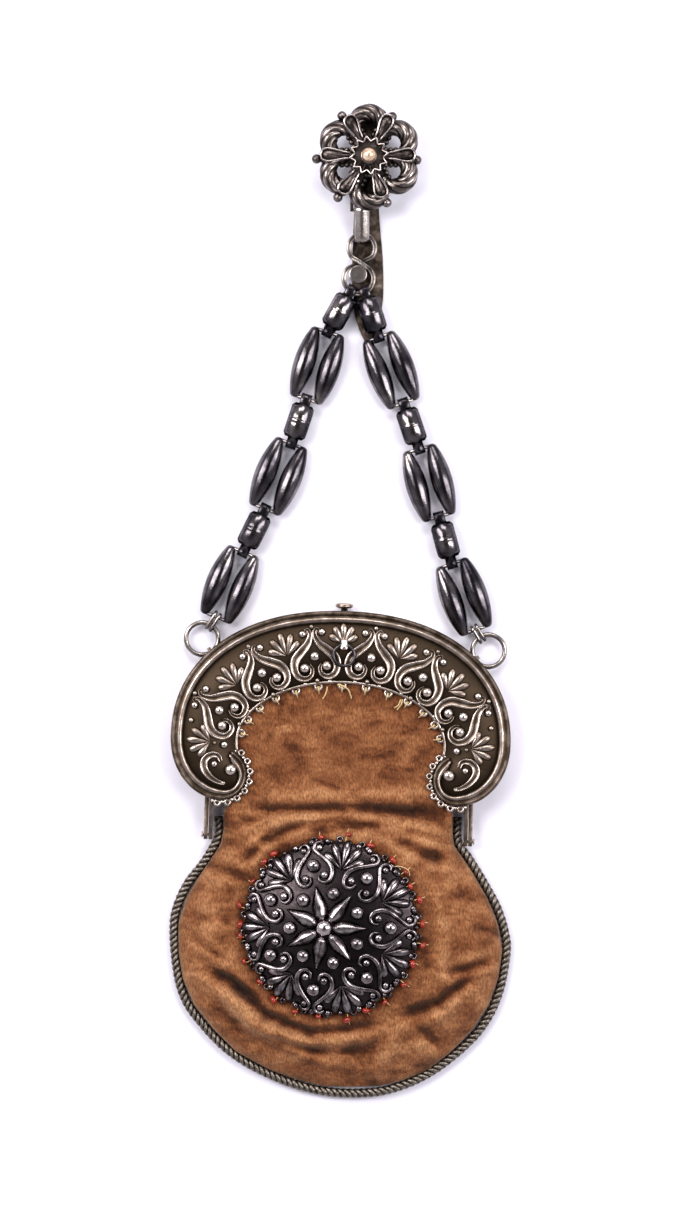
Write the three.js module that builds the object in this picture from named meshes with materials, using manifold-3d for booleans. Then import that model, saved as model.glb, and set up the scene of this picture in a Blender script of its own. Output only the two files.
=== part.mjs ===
// Chatelaine purse: a belt brooch with a chain of two strands, a hinged silver frame with
// cast relief, and a flat velvet bag edged with metal cord.  Millimetres, +Z up.  The purse
// lies on its back: the bag's back, the frame's back plate and the belt hook rest at z = 0,
// the brooch is towards +Y and the bag towards -Y.
import * as THREE from 'three';
import { mergeVertices } from 'three/addons/utils/BufferGeometryUtils.js';
import Module from 'manifold-3d';

const wasm = await Module();
wasm.setup();

// ---- driving dimensions -------------------------------------------------------------------
const GAP = 0.3;                      // air between pieces that touch on the real purse
const LOOSE = 0.45;                   // air round a bar or wire inside a link's bend
const DEG = Math.PI / 180;

// the frame, in its own axes: u across, v towards the brooch, the middle of the C at 0, 0
const FRAME_X = 0.3;
const FRAME_Y = -39.7;
const FRAME_TILT = -1.6 * DEG;        // the frame lies turned a little to the chain
const OUTER = { halfWidth: 56.6, height: 43.4, power: 2.2, centreV: -7 };
const SHOULDER = { centreU: 39.5, centreV: -7, halfWidth: 17.1, height: 20.5 };
const VOLUTE = { u: 39.5, v: -19, radius: 8.5 };
const VOLUTE_START = -90;             // degrees, where the outline runs into the volute
const VOLUTE_END = -232;              // degrees, where the volute meets the sewing edge
const SEWING_EDGE = { halfWidth: 34.7, height: 20.7, centreV: -8 };
const BACK_INSET = 1.8;               // the back half sits inside the front half's edge
const PLATE = 1.2;                    // thickness of both plates
const WALL = 1.2;                     // thickness of the walls round their edge
const BACK_WALL_TOP = 5;
const FRONT_WALL_FOOT = 5.3;
const FRONT_PLATE_Z = 9;
const FRONT_PLATE_TOP = FRONT_PLATE_Z + PLATE;
const RIM_WIDTH = 4.2;
const RIM_END_WIDTH = 1.6;            // the rim narrows inside each volute
const RIM_TOP = 11.5;
const RELIEF = 1.1;                   // height of the cast relief over the plate

// sewing eyelets along the inner edge
const EYELET = { radius: 1.35, hole: 0.5, reach: 0.7 };
const EDGE_EYELETS = 6;               // on each side of the middle one
const VOLUTE_EYELETS = 5;             // round each volute

// hinge at the lower end of each arm
const HINGE = { u: 43.4, v: -39.5, z: 5, knuckle: 1.6, hole: 0.75, pin: 0.45, tab: 1.3, top: -24 };

// push button of the clasp, in the middle of the frame's top
const BUTTON = { z: 3.3, head: 3.15, headFoot: 37.2, headTop: 39.3, neck: 1.2, hole: 1.5 };
const BUTTON_FLANGE = { radius: 1.8, top: 32.8, thickness: 0.6 };

// ring pull on the front
const PULL = { u: 0.3, v: 21.5, radius: 3.55, wire: 0.45, z: 12.6, width: 2.1 };

// velvet bag
const CLOTH = 1.3;
const SEAM = 1.6;                     // cloth under the plates, past the sewing edge
const PANEL_TOP = FRONT_PLATE_Z - GAP;
const PANEL_FOOT = PLATE + GAP;
const EDGE_LOW = 1.4;                 // the bag's closed edge, where the cord lies
const EDGE_HIGH = 3.4;
const HOLLOW = { head: -72, foot: -158 };
const MOUTH = { foot: -71, head: -20 };  // the two panels are apart above this height
const NECK = { left: -36, right: 34.5, foot: -78.5 };

// edge cord
const CORD_RADIUS = 1.35;
const CORD_Z = 2.4;

// medallion
const MEDAL = { x: -3.1, y: -108.3, radius: 29, seat: 12, rise: 4.8, wall: 1.2 };
const MEDAL_TILT = -5 * DEG;
const MEDAL_REPEAT = 7;
const STUD = 2;                       // radius of the balls between the leaves and hearts
const MEDAL_HOLES = 14;               // sewing holes through the rim

// chain
const CHAIN_Z = 3.6;
const SPINDLE = { radius: 3.6, tip: 1.15, half: 12.25, apart: 8.6, straight: 3.2 };
const CROSSBAR = { radius: 0.6, at: 11.75 };
const STRAP = { tab: 3.6, hangTab: 3.2, barrel: 7.6, wall: 0.7, half: 5.9, dome: 2 };
const RING_WIRE = 0.8;
const RING_RADIUS = 5.4;
const RING_Z = 2.6;
const JUMP_WIRE = 0.55;

// figure-eight link, bail, belt hook and brooch
const EIGHT = { wire: 0.75, z: CHAIN_Z };
const UPPER_LOOP = { x: 7.2, y: 118, rx: 4.5, ry: 4.6 };
const LOWER_LOOP = { x: 6.1, y: 107.7, rx: 4.95, ry: 4.95 };
const DISC = { x: 5.9, y: 109.2, radius: 3.1, thickness: 1 };
const HOOK = { thickness: 1, plateZ: 5.3, bendY: 162, width: 8, taperTop: 140, taperFoot: 136 };
const BAIL = { x: 7.2, width: 5, wall: 0.7, barY: 130.6, barZ: 5.7, bar: 0.55 };
const BROOCH = { x: 9.5, y: 147.8, z: 9.6 };
const LOBE = { centre: 10.2, arc: 4.6, thick: 3, thin: 1.9, reach: 105 };
const BROOCH_BALL = { at: 15, radius: 1.9 };
const PETAL = { z: 12.6, thickness: 1.2, floor: 0.5, hub: 3.2 };
const CALYX = { z: 14.1, thickness: 0.6, tip: 6, notch: 4.2, bore: 1.3 };
const BEAD = { radius: 2.4, middle: 2.9, peg: 0.8 };

// ---- solids --------------------------------------------------------------------------------
// A closed three.js geometry as a solid that can be joined and cut.
function bodyOf(geometry) {
  const bare = geometry.clone();
  bare.deleteAttribute('normal');
  bare.deleteAttribute('uv');
  const merged = mergeVertices(bare, 1e-4);
  const corners = merged.index.array;
  const triVerts = [];
  for (let i = 0; i < corners.length; i += 3) {
    const [a, b, c] = [corners[i], corners[i + 1], corners[i + 2]];
    if (a !== b && b !== c && c !== a) {
      triVerts.push(a, b, c);
    }
  }
  const vertProperties = new Float32Array(merged.attributes.position.array);
  const mesh = new wasm.Mesh({ numProp: 3, vertProperties, triVerts: new Uint32Array(triVerts) });
  return new wasm.Manifold(mesh);
}

function geometryOf(body) {
  const mesh = body.getMesh();
  const geometry = new THREE.BufferGeometry();
  geometry.setAttribute('position', new THREE.BufferAttribute(mesh.vertProperties, 3));
  geometry.setIndex(new THREE.BufferAttribute(mesh.triVerts, 1));
  return geometry;
}

const join = (bodies) => bodies.reduce((sum, body) => sum.add(body));

const signedVolume = (points, faces) => faces.reduce((sum, [a, b, c]) => {
  const cross = new THREE.Vector3().crossVectors(points[b], points[c]);
  return sum + points[a].dot(cross) / 6;
}, 0);

// A solid through a row of closed rings with the same number of points each.
function loft(rings, closed = false) {
  const n = rings[0].length;
  const points = rings.flat();
  const faces = [];
  const spans = closed ? rings.length : rings.length - 1;
  for (let i = 0; i < spans; i += 1) {
    const next = ((i + 1) % rings.length) * n;
    for (let j = 0; j < n; j += 1) {
      const k = (j + 1) % n;
      faces.push([i * n + j, i * n + k, next + k]);
      faces.push([i * n + j, next + k, next + j]);
    }
  }
  if (!closed) {
    const last = (rings.length - 1) * n;
    for (let j = 1; j < n - 1; j += 1) {
      faces.push([0, j + 1, j]);
      faces.push([last, last + j, last + j + 1]);
    }
  }
  const outward = signedVolume(points, faces) > 0;
  const order = outward ? faces : faces.map(([a, b, c]) => [a, c, b]);
  const geometry = new THREE.BufferGeometry();
  geometry.setAttribute('position', new THREE.Float32BufferAttribute(
    points.flatMap((p) => [p.x, p.y, p.z]), 3));
  geometry.setIndex(order.flat());
  return geometry;
}

// Round wire along points that lie in one plane, whose normal is given.
function wire(points, radii, sides, normal, closed = false) {
  const count = points.length;
  const rings = points.map((point, i) => {
    const before = closed ? points[(i + count - 1) % count] : points[Math.max(i - 1, 0)];
    const after = closed ? points[(i + 1) % count] : points[Math.min(i + 1, count - 1)];
    const along = after.clone().sub(before).normalize();
    const side = new THREE.Vector3().crossVectors(along, normal).normalize();
    const radius = Array.isArray(radii) ? radii[i] : radii;
    return Array.from({ length: sides }, (_, j) => {
      const angle = ((j + 0.5) / sides) * 2 * Math.PI;
      return point.clone()
        .addScaledVector(side, radius * Math.cos(angle))
        .addScaledVector(normal, radius * Math.sin(angle));
    });
  });
  return loft(rings, closed);
}

const UP = new THREE.Vector3(0, 0, 1);

// Points of an ellipse, or of part of one, angles in degrees.
function ellipse(x, y, rx, ry, from, to, steps) {
  return Array.from({ length: steps + 1 }, (_, i) => {
    const angle = (from + ((to - from) * i) / steps) * DEG;
    return new THREE.Vector2(x + rx * Math.cos(angle), y + ry * Math.sin(angle));
  });
}

function prism(points, foot, top, holes = []) {
  const outline = THREE.ShapeUtils.isClockWise(points) ? [...points].reverse() : points;
  const shape = new THREE.Shape(outline);
  shape.holes = holes.map((hole) => new THREE.Path(hole));
  const geometry = new THREE.ExtrudeGeometry(shape, {
    depth: top - foot, bevelEnabled: false, steps: 1 });
  return geometry.translate(0, 0, foot);
}

// A flat piece cut from a profile in the y-z plane, from x = left to x = right.
function profile(points, left, right, holes = []) {
  return prism(points, left, right, holes).rotateZ(Math.PI / 2).rotateY(Math.PI / 2);
}

function ball(x, y, z, radius, sides = 6, flatness = 1) {
  return new THREE.SphereGeometry(radius, sides, radius > 1.5 ? 3 : 2)
    .rotateX(Math.PI / 2)
    .scale(1, 1, flatness)
    .translate(x, y, z);
}

function rod(radius, from, to, sides = 8) {
  const along = to.clone().sub(from);
  const turn = new THREE.Quaternion().setFromUnitVectors(
    new THREE.Vector3(0, 1, 0), along.clone().normalize());
  const middle = from.clone().add(to).multiplyScalar(0.5);
  return new THREE.CylinderGeometry(radius, radius, along.length(), sides)
    .applyQuaternion(turn)
    .translate(middle.x, middle.y, middle.z);
}

// ---- materials and nodes -------------------------------------------------------------------
const look = (color, roughness, metalness) => ({ color, roughness, metalness });
const SILVER = look(0xa79c94, 0.35, 1);
const DARK_SILVER = look(0x55525a, 0.25, 1);
const CORD_SILVER = look(0x8d857c, 0.45, 1);
const GOLD = look(0xe8c79a, 0.3, 1);
const VELVET = look(0xb08058, 0.95, 0);

function mesh(parent, name, geometry, { color, roughness, metalness }) {
  const material = new THREE.MeshStandardMaterial({
    color, roughness, metalness, flatShading: true });
  const node = new THREE.Mesh(geometry, material);
  node.name = name;
  parent.add(node);
  return node;
}

const purse = new THREE.Group();
const body = new THREE.Group();       // the frame and what lies square to it
body.position.set(FRAME_X, FRAME_Y, 0);
body.rotation.z = FRAME_TILT;
purse.add(body);

// ---- outlines of the frame ------------------------------------------------------------------
// The right half of the frame's outer edge, from the middle of the top into the volute.
function outerEdge() {
  const { halfWidth, height, power, centreV } = OUTER;
  const steps = 8;
  const over = Array.from({ length: steps + 1 }, (_, i) => {
    const angle = (90 - (90 * i) / steps) * DEG;
    const u = halfWidth * Math.cos(angle) ** (2 / power);
    const v = centreV + height * Math.sin(angle) ** (2 / power);
    return new THREE.Vector2(i === 0 ? 0 : u, i === steps ? centreV : v);
  });
  const under = ellipse(SHOULDER.centreU, SHOULDER.centreV, SHOULDER.halfWidth,
    SHOULDER.height, 0, -90, 4).slice(1);
  const curl = ellipse(VOLUTE.u, VOLUTE.v, VOLUTE.radius, VOLUTE.radius,
    VOLUTE_START, VOLUTE_END, 5).slice(1);
  return { rim: [...over, ...under, ...curl], wall: [...over, ...under] };
}

function sewingEdge() {
  const { halfWidth, height, centreV } = SEWING_EDGE;
  return ellipse(0, centreV, halfWidth, height, -9, 90, 8);
}

// The same path moved inwards, by a distance that may change along it.
function inset(path, distance) {
  return path.map((point, i) => {
    const along = path[Math.min(i + 1, path.length - 1)].clone()
      .sub(path[Math.max(i - 1, 0)]).normalize();
    const step = typeof distance === 'function' ? distance(i / (path.length - 1)) : distance;
    const inward = new THREE.Vector2(along.y, -along.x).multiplyScalar(step);
    return i === 0 ? new THREE.Vector2(0, point.y - step) : point.clone().add(inward);
  });
}

const mirrored = (path) => path.map((point) => new THREE.Vector2(-point.x, point.y)).reverse();

// The whole path from the left volute over the top to the right one.
const bothSides = (half) => [...mirrored(half), ...half.slice(1)];

function band(path, width, foot, top) {
  const outer = bothSides(path);
  const inner = bothSides(inset(path, width)).reverse();
  return prism([...outer, ...inner], foot, top);
}

const EDGE = outerEdge();
const backEdge = {
  rim: inset(EDGE.rim, (t) => BACK_INSET * (1 - THREE.MathUtils.smoothstep(t, 0.6, 0.76))),
  wall: inset(EDGE.wall, BACK_INSET),
};

function plate(rim, foot) {
  return prism([...bothSides(rim), ...bothSides(sewingEdge().reverse()).reverse()],
    foot, foot + PLATE);
}

// Places of the eyelets along the sewing edge, each a short way past it.
function edgePlaces() {
  const { halfWidth, height, centreV } = SEWING_EDGE;
  return Array.from({ length: 2 * EDGE_EYELETS + 1 }, (_, i) => {
    const angle = (8 + (164 * i) / (2 * EDGE_EYELETS)) * DEG;
    return new THREE.Vector2((halfWidth - EYELET.reach) * Math.cos(angle),
      centreV + (height - EYELET.reach) * Math.sin(angle));
  });
}

// Places of the sewing holes round the inner side of both volutes.
function volutePlaces() {
  const reach = VOLUTE.radius - EYELET.radius;
  return Array.from({ length: VOLUTE_EYELETS }, (_, i) => {
    const angle = (148 + 29 * i) * DEG;
    return new THREE.Vector2(VOLUTE.u + reach * Math.cos(angle),
      VOLUTE.v + reach * Math.sin(angle));
  }).flatMap((p) => [p, new THREE.Vector2(-p.x, p.y)]);
}

// ---- cast relief ----------------------------------------------------------------------------
// A ridge with a sharp back along a path; x, y and width of each point.
function ridge(path, height, surface) {
  const rings = path.map(([x, y, width], i) => {
    const before = path[Math.max(i - 1, 0)];
    const after = path[Math.min(i + 1, path.length - 1)];
    const along = new THREE.Vector2(after[0] - before[0], after[1] - before[1]).normalize();
    const z = surface(x, y);
    const side = (w, dz) => new THREE.Vector3(x - along.y * w, y + along.x * w, z + dz);
    return [side(-width / 2, -0.4), side(width / 2, -0.4), side(0, height)];
  });
  return loft(rings);
}

// One side of a lyre: from the tip beside the outer ball down and round the inner ball.
const LYRE_SCROLL = [
  [0.9, 12.4, 0.9], [1.6, 8, 2], [6.6, 3.2, 2.6], [6, -2.7, 2], [1.5, -1.6, 1],
];
const LYRE_BALLS = [{ x: 3.7, y: 0, radius: 1.3 }, { x: 0, y: 3.7, radius: 1.6 }];
const BALL_FLATNESS = 0.6;
const LYRES = [
  { u: 8.9, v: 17.4, turn: -8 }, { u: 25, v: 11.8, turn: -29 }, { u: 37.5, v: 0.2, turn: -57 },
];
const SHELLS = [
  { u: 20.1, v: 24.7, turn: -20 }, { u: 37.8, v: 13.7, turn: -43 },
  { u: 47.4, v: -8, turn: -85 },
];
const SHELL_LOBES = 3;
const SHELL_REACH = 3.4;

const turned = (x, y, turn) => new THREE.Vector2(x, y)
  .rotateAround(new THREE.Vector2(0, 0), turn * DEG);

function shellFan(u, v, turn, surface) {
  const outline = [turned(0.5, -SHELL_REACH, turn), turned(-0.5, -SHELL_REACH, turn)];
  for (let i = 0; i < SHELL_LOBES * 2 - 1; i += 1) {
    const angle = (150 - (i * 120) / (SHELL_LOBES * 2 - 2)) * DEG;
    const reach = (i % 2 === 0 ? 1 : 0.72) * 2 * SHELL_REACH;
    outline.push(turned(reach * Math.cos(angle) * 0.72,
      reach * Math.sin(angle) - SHELL_REACH, turn));
  }
  const z = surface(u, v);
  return prism(outline.map((p) => p.add(new THREE.Vector2(u, v))), z - 0.5, z + 0.8);
}

// The comma scroll and the balls in each lower end.
const COMMA = [
  [38.6, -22.2, 0.8], [41.6, -20.6, 1.3], [44.6, -18.2, 1.9], [44.9, -14.6, 1.8],
  [42, -12.8, 1.4], [39.8, -14.6, 0.9],
];
const END_BALLS = [
  { u: 38.7, v: -9.2, radius: 1.2 }, { u: 41.9, v: -15.6, radius: 1.2 },
  { u: 35.6, v: -17, radius: 2 },
];

function frameRelief(surface) {
  const bodies = [bodyOf(shellFan(0, 28.7, 0, surface))];
  for (const side of [1, -1]) {
    for (const lyre of LYRES) {
      for (const half of [1, -1]) {
        const place = (x, y) => {
          const spot = turned(x * half, y, lyre.turn);
          return [(spot.x + lyre.u) * side, spot.y + lyre.v];
        };
        const path = LYRE_SCROLL.map(([x, y, width]) => [...place(x, y), width]);
        bodies.push(bodyOf(ridge(path, RELIEF, surface)));
        for (const { x, y, radius } of LYRE_BALLS) {
          if (x !== 0 || half === 1) {
            const [u, v] = place(x, y);
            bodies.push(bodyOf(ball(u, v, surface(u, v), radius, 5, BALL_FLATNESS)));
          }
        }
      }
    }
    for (const { u, v, turn } of SHELLS) {
      bodies.push(bodyOf(shellFan(u * side, v, turn * side, surface)));
    }
    const comma = COMMA.map(([u, v, width]) => [u * side, v, width]);
    bodies.push(bodyOf(ridge(comma, RELIEF, surface)));
    for (const { u, v, radius } of END_BALLS) {
      bodies.push(bodyOf(ball(u * side, v, surface(u, v), radius, 5, BALL_FLATNESS)));
    }
  }
  return join(bodies);
}

// ---- frame ------------------------------------------------------------------------------------
// A hinge arm: a bar that runs down from a half's lower end to the pivot, with a round eye.
function hingeArm(u, high, low) {
  const { v, z, knuckle, tab, top } = HINGE;
  const eye = ellipse(v, z, knuckle, knuckle, 90, 270, 5);
  const bar = profile([...eye, new THREE.Vector2(top, low), new THREE.Vector2(top, high)],
    u - tab / 2, u + tab / 2);
  const hole = rod(HINGE.hole, new THREE.Vector3(u - tab, v, z), new THREE.Vector3(u + tab, v, z));
  return bodyOf(bar).subtract(bodyOf(hole));
}

const discs = (places, radius, sides, foot, top) => join(places.map((p) => bodyOf(prism(
  ellipse(p.x, p.y, radius, radius, 0, 360 - 360 / sides, sides - 1), foot, top))));

// The staple on the front that the ring pull hangs in.
function pullStaple() {
  const { u, v, radius, wire: thick, z, width } = PULL;
  const centre = v + radius;
  const open = thick + LOOSE;
  const outer = open + 0.65;
  const foot = FRONT_PLATE_TOP - 0.5;
  const post = [[centre - 0.8, foot], [centre + 0.8, foot], [centre + 0.8, z - 1],
    [centre - 0.8, z - 1]].map(([v0, z0]) => new THREE.Vector2(v0, z0));
  const eye = bodyOf(profile(ellipse(centre, z, outer, outer, 0, 320, 8),
    u - width / 2, u + width / 2));
  const bore = bodyOf(profile(ellipse(centre, z, open, open, 0, 300, 5), u - width, u + width));
  return bodyOf(profile(post, u - width / 2, u + width / 2)).add(eye).subtract(bore);
}

function frameFront() {
  const surface = () => FRONT_PLATE_TOP;
  const rings = edgePlaces();
  const holes = [...rings, ...volutePlaces()];
  const narrowing = (t) => (t < 0.7 ? RIM_WIDTH
    : RIM_WIDTH + ((RIM_END_WIDTH - RIM_WIDTH) * (t - 0.7)) / 0.3);
  const bodies = [
    bodyOf(plate(EDGE.rim, FRONT_PLATE_Z)),
    discs(rings, EYELET.radius, 5, FRONT_PLATE_Z, FRONT_PLATE_TOP),
    bodyOf(band(EDGE.rim, narrowing, FRONT_PLATE_TOP - 0.2, RIM_TOP)),
    bodyOf(band(EDGE.wall, WALL, FRONT_WALL_FOOT, FRONT_PLATE_Z + 0.5)),
    frameRelief(surface),
    pullStaple(),
  ];
  for (const side of [1, -1]) {
    const u = side * (HINGE.u - HINGE.tab / 2 - GAP / 2);
    bodies.push(hingeArm(u, FRONT_PLATE_TOP - 0.2, FRONT_WALL_FOOT + 0.4));
  }
  return join(bodies).subtract(discs(holes, EYELET.hole, 3, FRONT_PLATE_Z - 1, RIM_TOP));
}

// Places where each ring's wire passes the frame's edge, and where the rings then lie.
const LUG = { u: 44.6, v: 21.87, out: -0.65, bore: 1.15, wall: 0.6, width: 1.2 };
const LUG_NORMAL = new THREE.Vector2(0.685, 0.729);
const RINGS = {
  left: { side: -1, swing: new THREE.Vector2(-0.577, 0.817) },
  right: { side: 1, swing: new THREE.Vector2(0.83, 0.56) },
};

function lugCentre(side) {
  const spot = new THREE.Vector2(LUG.u, LUG.v).addScaledVector(LUG_NORMAL, LUG.out);
  return new THREE.Vector2(spot.x * side, spot.y);
}

function ringCentre({ side, swing }) {
  return lugCentre(side).addScaledVector(swing, RING_RADIUS);
}

// A small standing eye on the back half's wall; the ring's wire runs through it.
function ringLug({ side, swing }) {
  const outer = LUG.bore + LUG.wall;
  const eye = ellipse(0, 0, outer, outer, 22.5, 337.5, 7);
  const shape = bodyOf(profile(eye, -LUG.width / 2, LUG.width / 2));
  const bore = bodyOf(profile(ellipse(0, 0, LUG.bore, LUG.bore, 22.5, 337.5, 7), -2, 2));
  const spot = lugCentre(side);
  const facing = Math.atan2(swing.y, swing.x) / DEG - 90;
  return shape.subtract(bore).rotate([0, 0, facing]).translate([spot.x, spot.y, RING_Z]);
}

// The back half has no relief; it carries the eyes for the rings.
function frameBack() {
  const bodies = [
    bodyOf(plate(backEdge.rim, 0)),
    bodyOf(band(backEdge.wall, WALL, PLATE - 0.3, BACK_WALL_TOP)),
    ringLug(RINGS.left),
    ringLug(RINGS.right),
  ];
  for (const side of [1, -1]) {
    const u = side * (HINGE.u + HINGE.tab / 2 + GAP / 2);
    bodies.push(hingeArm(u, BACK_WALL_TOP - 0.4, 0.3));
  }
  const { headFoot, z, hole } = BUTTON;
  const opening = rod(hole, new THREE.Vector3(0, 30, z), new THREE.Vector3(0, headFoot, z), 10);
  return join(bodies).subtract(bodyOf(opening));
}

function buildFrame() {
  mesh(body, 'frame_front', geometryOf(frameFront()), SILVER);
  mesh(body, 'frame_back', geometryOf(frameBack()), SILVER);
  for (const [name, side] of [['hinge_pin_left', -1], ['hinge_pin_right', 1]]) {
    const inner = HINGE.u - HINGE.tab - GAP / 2 - 0.2;
    const outer = HINGE.u + HINGE.tab + GAP / 2 + GAP;
    const points = [[0, inner], [HINGE.pin, inner], [HINGE.pin, outer], [1, outer],
      [1, outer + 0.35], [0, outer + 0.6]];
    const pin = new THREE.LatheGeometry(points.map(([r, h]) => new THREE.Vector2(r, h)), 8);
    const node = mesh(body, name, geometryOf(bodyOf(pin)), SILVER);
    node.rotation.z = -side * 90 * DEG;
    node.position.set(0, HINGE.v, HINGE.z);
  }
  buildButton();
  const { u, v, radius, wire: thick, z } = PULL;
  mesh(body, 'pull_ring', flatRing(radius, thick, 12, 5), DARK_SILVER).position.set(u, v, z);
}

function buildButton() {
  const { head, headFoot, headTop, neck, z } = BUTTON;
  const flange = BUTTON_FLANGE;
  const middle = (headFoot + headTop) / 2;
  const points = [[0, flange.top - flange.thickness], [flange.radius, flange.top - flange.thickness],
    [flange.radius, flange.top], [neck, flange.top], [neck, headFoot], [head * 0.7, headFoot + 0.2],
    [head, middle], [head * 0.7, headTop - 0.3], [0, headTop]];
  const shape = new THREE.LatheGeometry(points.map(([r, h]) => new THREE.Vector2(r, h)), 12);
  mesh(body, 'clasp_button', geometryOf(bodyOf(shape)), SILVER).position.set(0, 0, z);
}

// A ring of round wire that lies flat.
function flatRing(radius, thick, steps, sides) {
  const section = ellipse(radius, 0, thick, thick, 0, 360, sides);
  return geometryOf(bodyOf(new THREE.LatheGeometry(section, steps).rotateX(Math.PI / 2)));
}

// ---- velvet bag ---------------------------------------------------------------------------------
// Rows of the bag from the seam at the top to the bottom edge: the left and right edge of the
// cloth, the height of its front in the middle and of its back.
const BAG_ROWS = [
  { y: -47.7, left: -36.3, right: 36.3, front: 8.7, back: 1.5 },
  { y: -57, left: -35.7, right: 35.7, front: 8.7, back: 1.5 },
  { y: -64.5, left: -36, right: 36, front: 9.2, back: 1.5 },
  { y: -67.5, left: -37, right: 36.6, front: 10.8, back: 1.5 },
  { y: -70.5, left: -38.7, right: 37.2, front: 9.6, back: 1.5 },
  { y: -75, left: -38.5, right: 37.3, front: 10.2, back: 0.7 },
  { y: -82, left: -39.8, right: 37.6, front: 12.3, back: 0 },
  { y: -90, left: -45.5, right: 43.3, front: 13, back: 0 },
  { y: -99, left: -51, right: 48.6, front: 13.2, back: 0 },
  { y: -108, left: -53.8, right: 52.3, front: 13.4, back: 0 },
  { y: -117, left: -53.5, right: 53.7, front: 13.4, back: 0 },
  { y: -126, left: -52.2, right: 52.3, front: 13.3, back: 0 },
  { y: -135, left: -48.4, right: 49.1, front: 12.7, back: 0 },
  { y: -143.5, left: -41.6, right: 43.6, front: 11.3, back: 0 },
  { y: -151, left: -34, right: 36.2, front: 9.4, back: 0 },
  { y: -157, left: -22, right: 28, front: 7, back: 0 },
  { y: -162, left: -6, right: 14, front: 4.2, back: 0 },
];
// Creases and swells of the front: a line from a to b, how deep it is and how wide.
const FOLDS = [
  { ax: -26, ay: -71.6, bx: 28, by: -70.9, depth: 0.8, width: 2 },
  { ax: -37, ay: -84, bx: -33, by: -96, depth: 1.4, width: 3 },
  { ax: -33, ay: -96, bx: -36, by: -118, depth: 1.5, width: 2.6 },
  { ax: -36, ay: -128, bx: -22, by: -143, depth: 1.8, width: 2.8 },
  { ax: -22, ay: -143, bx: -2, by: -148, depth: 1.5, width: 2.6 },
  { ax: 30, ay: -140, bx: 40, by: -122, depth: 1.8, width: 3 },
  { ax: 36, ay: -88, bx: 34, by: -106, depth: 1.3, width: 2.6 },
  { ax: -10, ay: -75.5, bx: 22, by: -77, depth: 1.1, width: 2.2 },
  { ax: -44, ay: -118, bx: -40, by: -134, depth: -1, width: 3.5 },
  { ax: 16, ay: -146, bx: 30, by: -146, depth: -0.9, width: 3.5 },
];
const SEAT_RADIUS = 33;               // how far the front stays level round the medallion
const FRONT_COLUMNS = 11;

function toLine(x, y, { ax, ay, bx, by }) {
  const [dx, dy] = [bx - ax, by - ay];
  const t = THREE.MathUtils.clamp(((x - ax) * dx + (y - ay) * dy) / (dx * dx + dy * dy), 0, 1);
  return Math.hypot(x - ax - t * dx, y - ay - t * dy);
}

// Height of the bag's front at a place, with s running from -1 to 1 across the row.
function frontHeight(row, x, s, lift) {
  const arch = (1 - Math.abs(s) ** 3.4) ** (1 / 1.9);
  const plain = EDGE_HIGH + (row.front - EDGE_HIGH) * arch;
  const flat = row.y > -72 ? row.front : plain;
  const blend = THREE.MathUtils.smoothstep(row.y, -80, -72);
  let z = THREE.MathUtils.lerp(plain, flat, blend);
  if (row.y > -72 && Math.abs(x) > 24) {
    z = Math.min(z, PANEL_TOP);
  }
  for (const fold of FOLDS) {
    z -= fold.depth * Math.exp(-((toLine(x, row.y, fold) / fold.width) ** 2)) * arch;
  }
  const [dx, dy] = [x - MEDAL.x, row.y - MEDAL.y];
  const seat = MEDAL.seat - GAP + dx * Math.tan(-MEDAL_TILT);
  const near = 1 - THREE.MathUtils.smoothstep(Math.hypot(dx, dy), SEAT_RADIUS, SEAT_RADIUS + 8);
  return THREE.MathUtils.lerp(z, seat, near) + lift;
}

function upperRows() {
  const first = BAG_ROWS[0];
  const height = SEWING_EDGE.height + SEAM;
  return [0.992, 0.95, 0.85, 0.68, 0.42].map((rise) => {
    const half = first.right * Math.sqrt(1 - rise * rise);
    return { ...first, y: first.y + rise * height, left: -half, right: half };
  });
}

// One ring round the bag: its back from left to right, then its front from right to left.
function bagRing(row, shrink, lift) {
  const { y, back } = row;
  const left = row.left + shrink;
  const right = row.right - shrink;
  const at = (s) => (left + right) / 2 + (s * (right - left)) / 2;
  const upper = THREE.MathUtils.smoothstep(y, -80, -72);
  const low = THREE.MathUtils.lerp(EDGE_LOW, PANEL_FOOT, upper);
  const high = THREE.MathUtils.lerp(EDGE_HIGH, PANEL_TOP, upper);
  const ring = [-1, -0.9, 0.9, 1].map((s) => {
    const z = Math.abs(s) === 1 ? Math.max(low, back + lift) : back + lift;
    return new THREE.Vector3(at(s), y, z);
  });
  for (let i = 0; i <= FRONT_COLUMNS; i += 1) {
    const s = 1 - (2 * i) / FRONT_COLUMNS;
    const z = Math.abs(s) === 1 ? Math.min(high, frontHeight(row, at(s), 0, 0))
      : frontHeight(row, at(s), s, -lift);
    ring.push(new THREE.Vector3(at(s), y, z));
  }
  return ring;
}

// Cuts a straight way between two walls of cloth, given its left, right, foot and head in plan.
function way(left, right, foot, head, top) {
  const corners = [[left, foot], [right, foot], [right, head], [left, head]];
  return bodyOf(prism(corners.map(([x, y]) => new THREE.Vector2(x, y)), PANEL_FOOT + CLOTH, top));
}

function velvetBag() {
  const rows = [...upperRows(), ...BAG_ROWS];
  const outer = bodyOf(loft(rows.map((row) => bagRing(row, 0, 0))));
  const inside = BAG_ROWS.filter((row) => row.y < HOLLOW.head && row.y > HOLLOW.foot);
  const hollow = bodyOf(loft(inside.map((row) => bagRing(row, 2 * CLOTH, CLOTH))));
  const mouth = way(-60, 60, MOUTH.foot, MOUTH.head, PANEL_TOP - CLOTH);
  const neck = way(NECK.left, NECK.right, NECK.foot, MOUTH.foot + 1, PANEL_TOP - CLOTH);
  return outer.subtract(hollow).subtract(mouth).subtract(neck);
}

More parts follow.
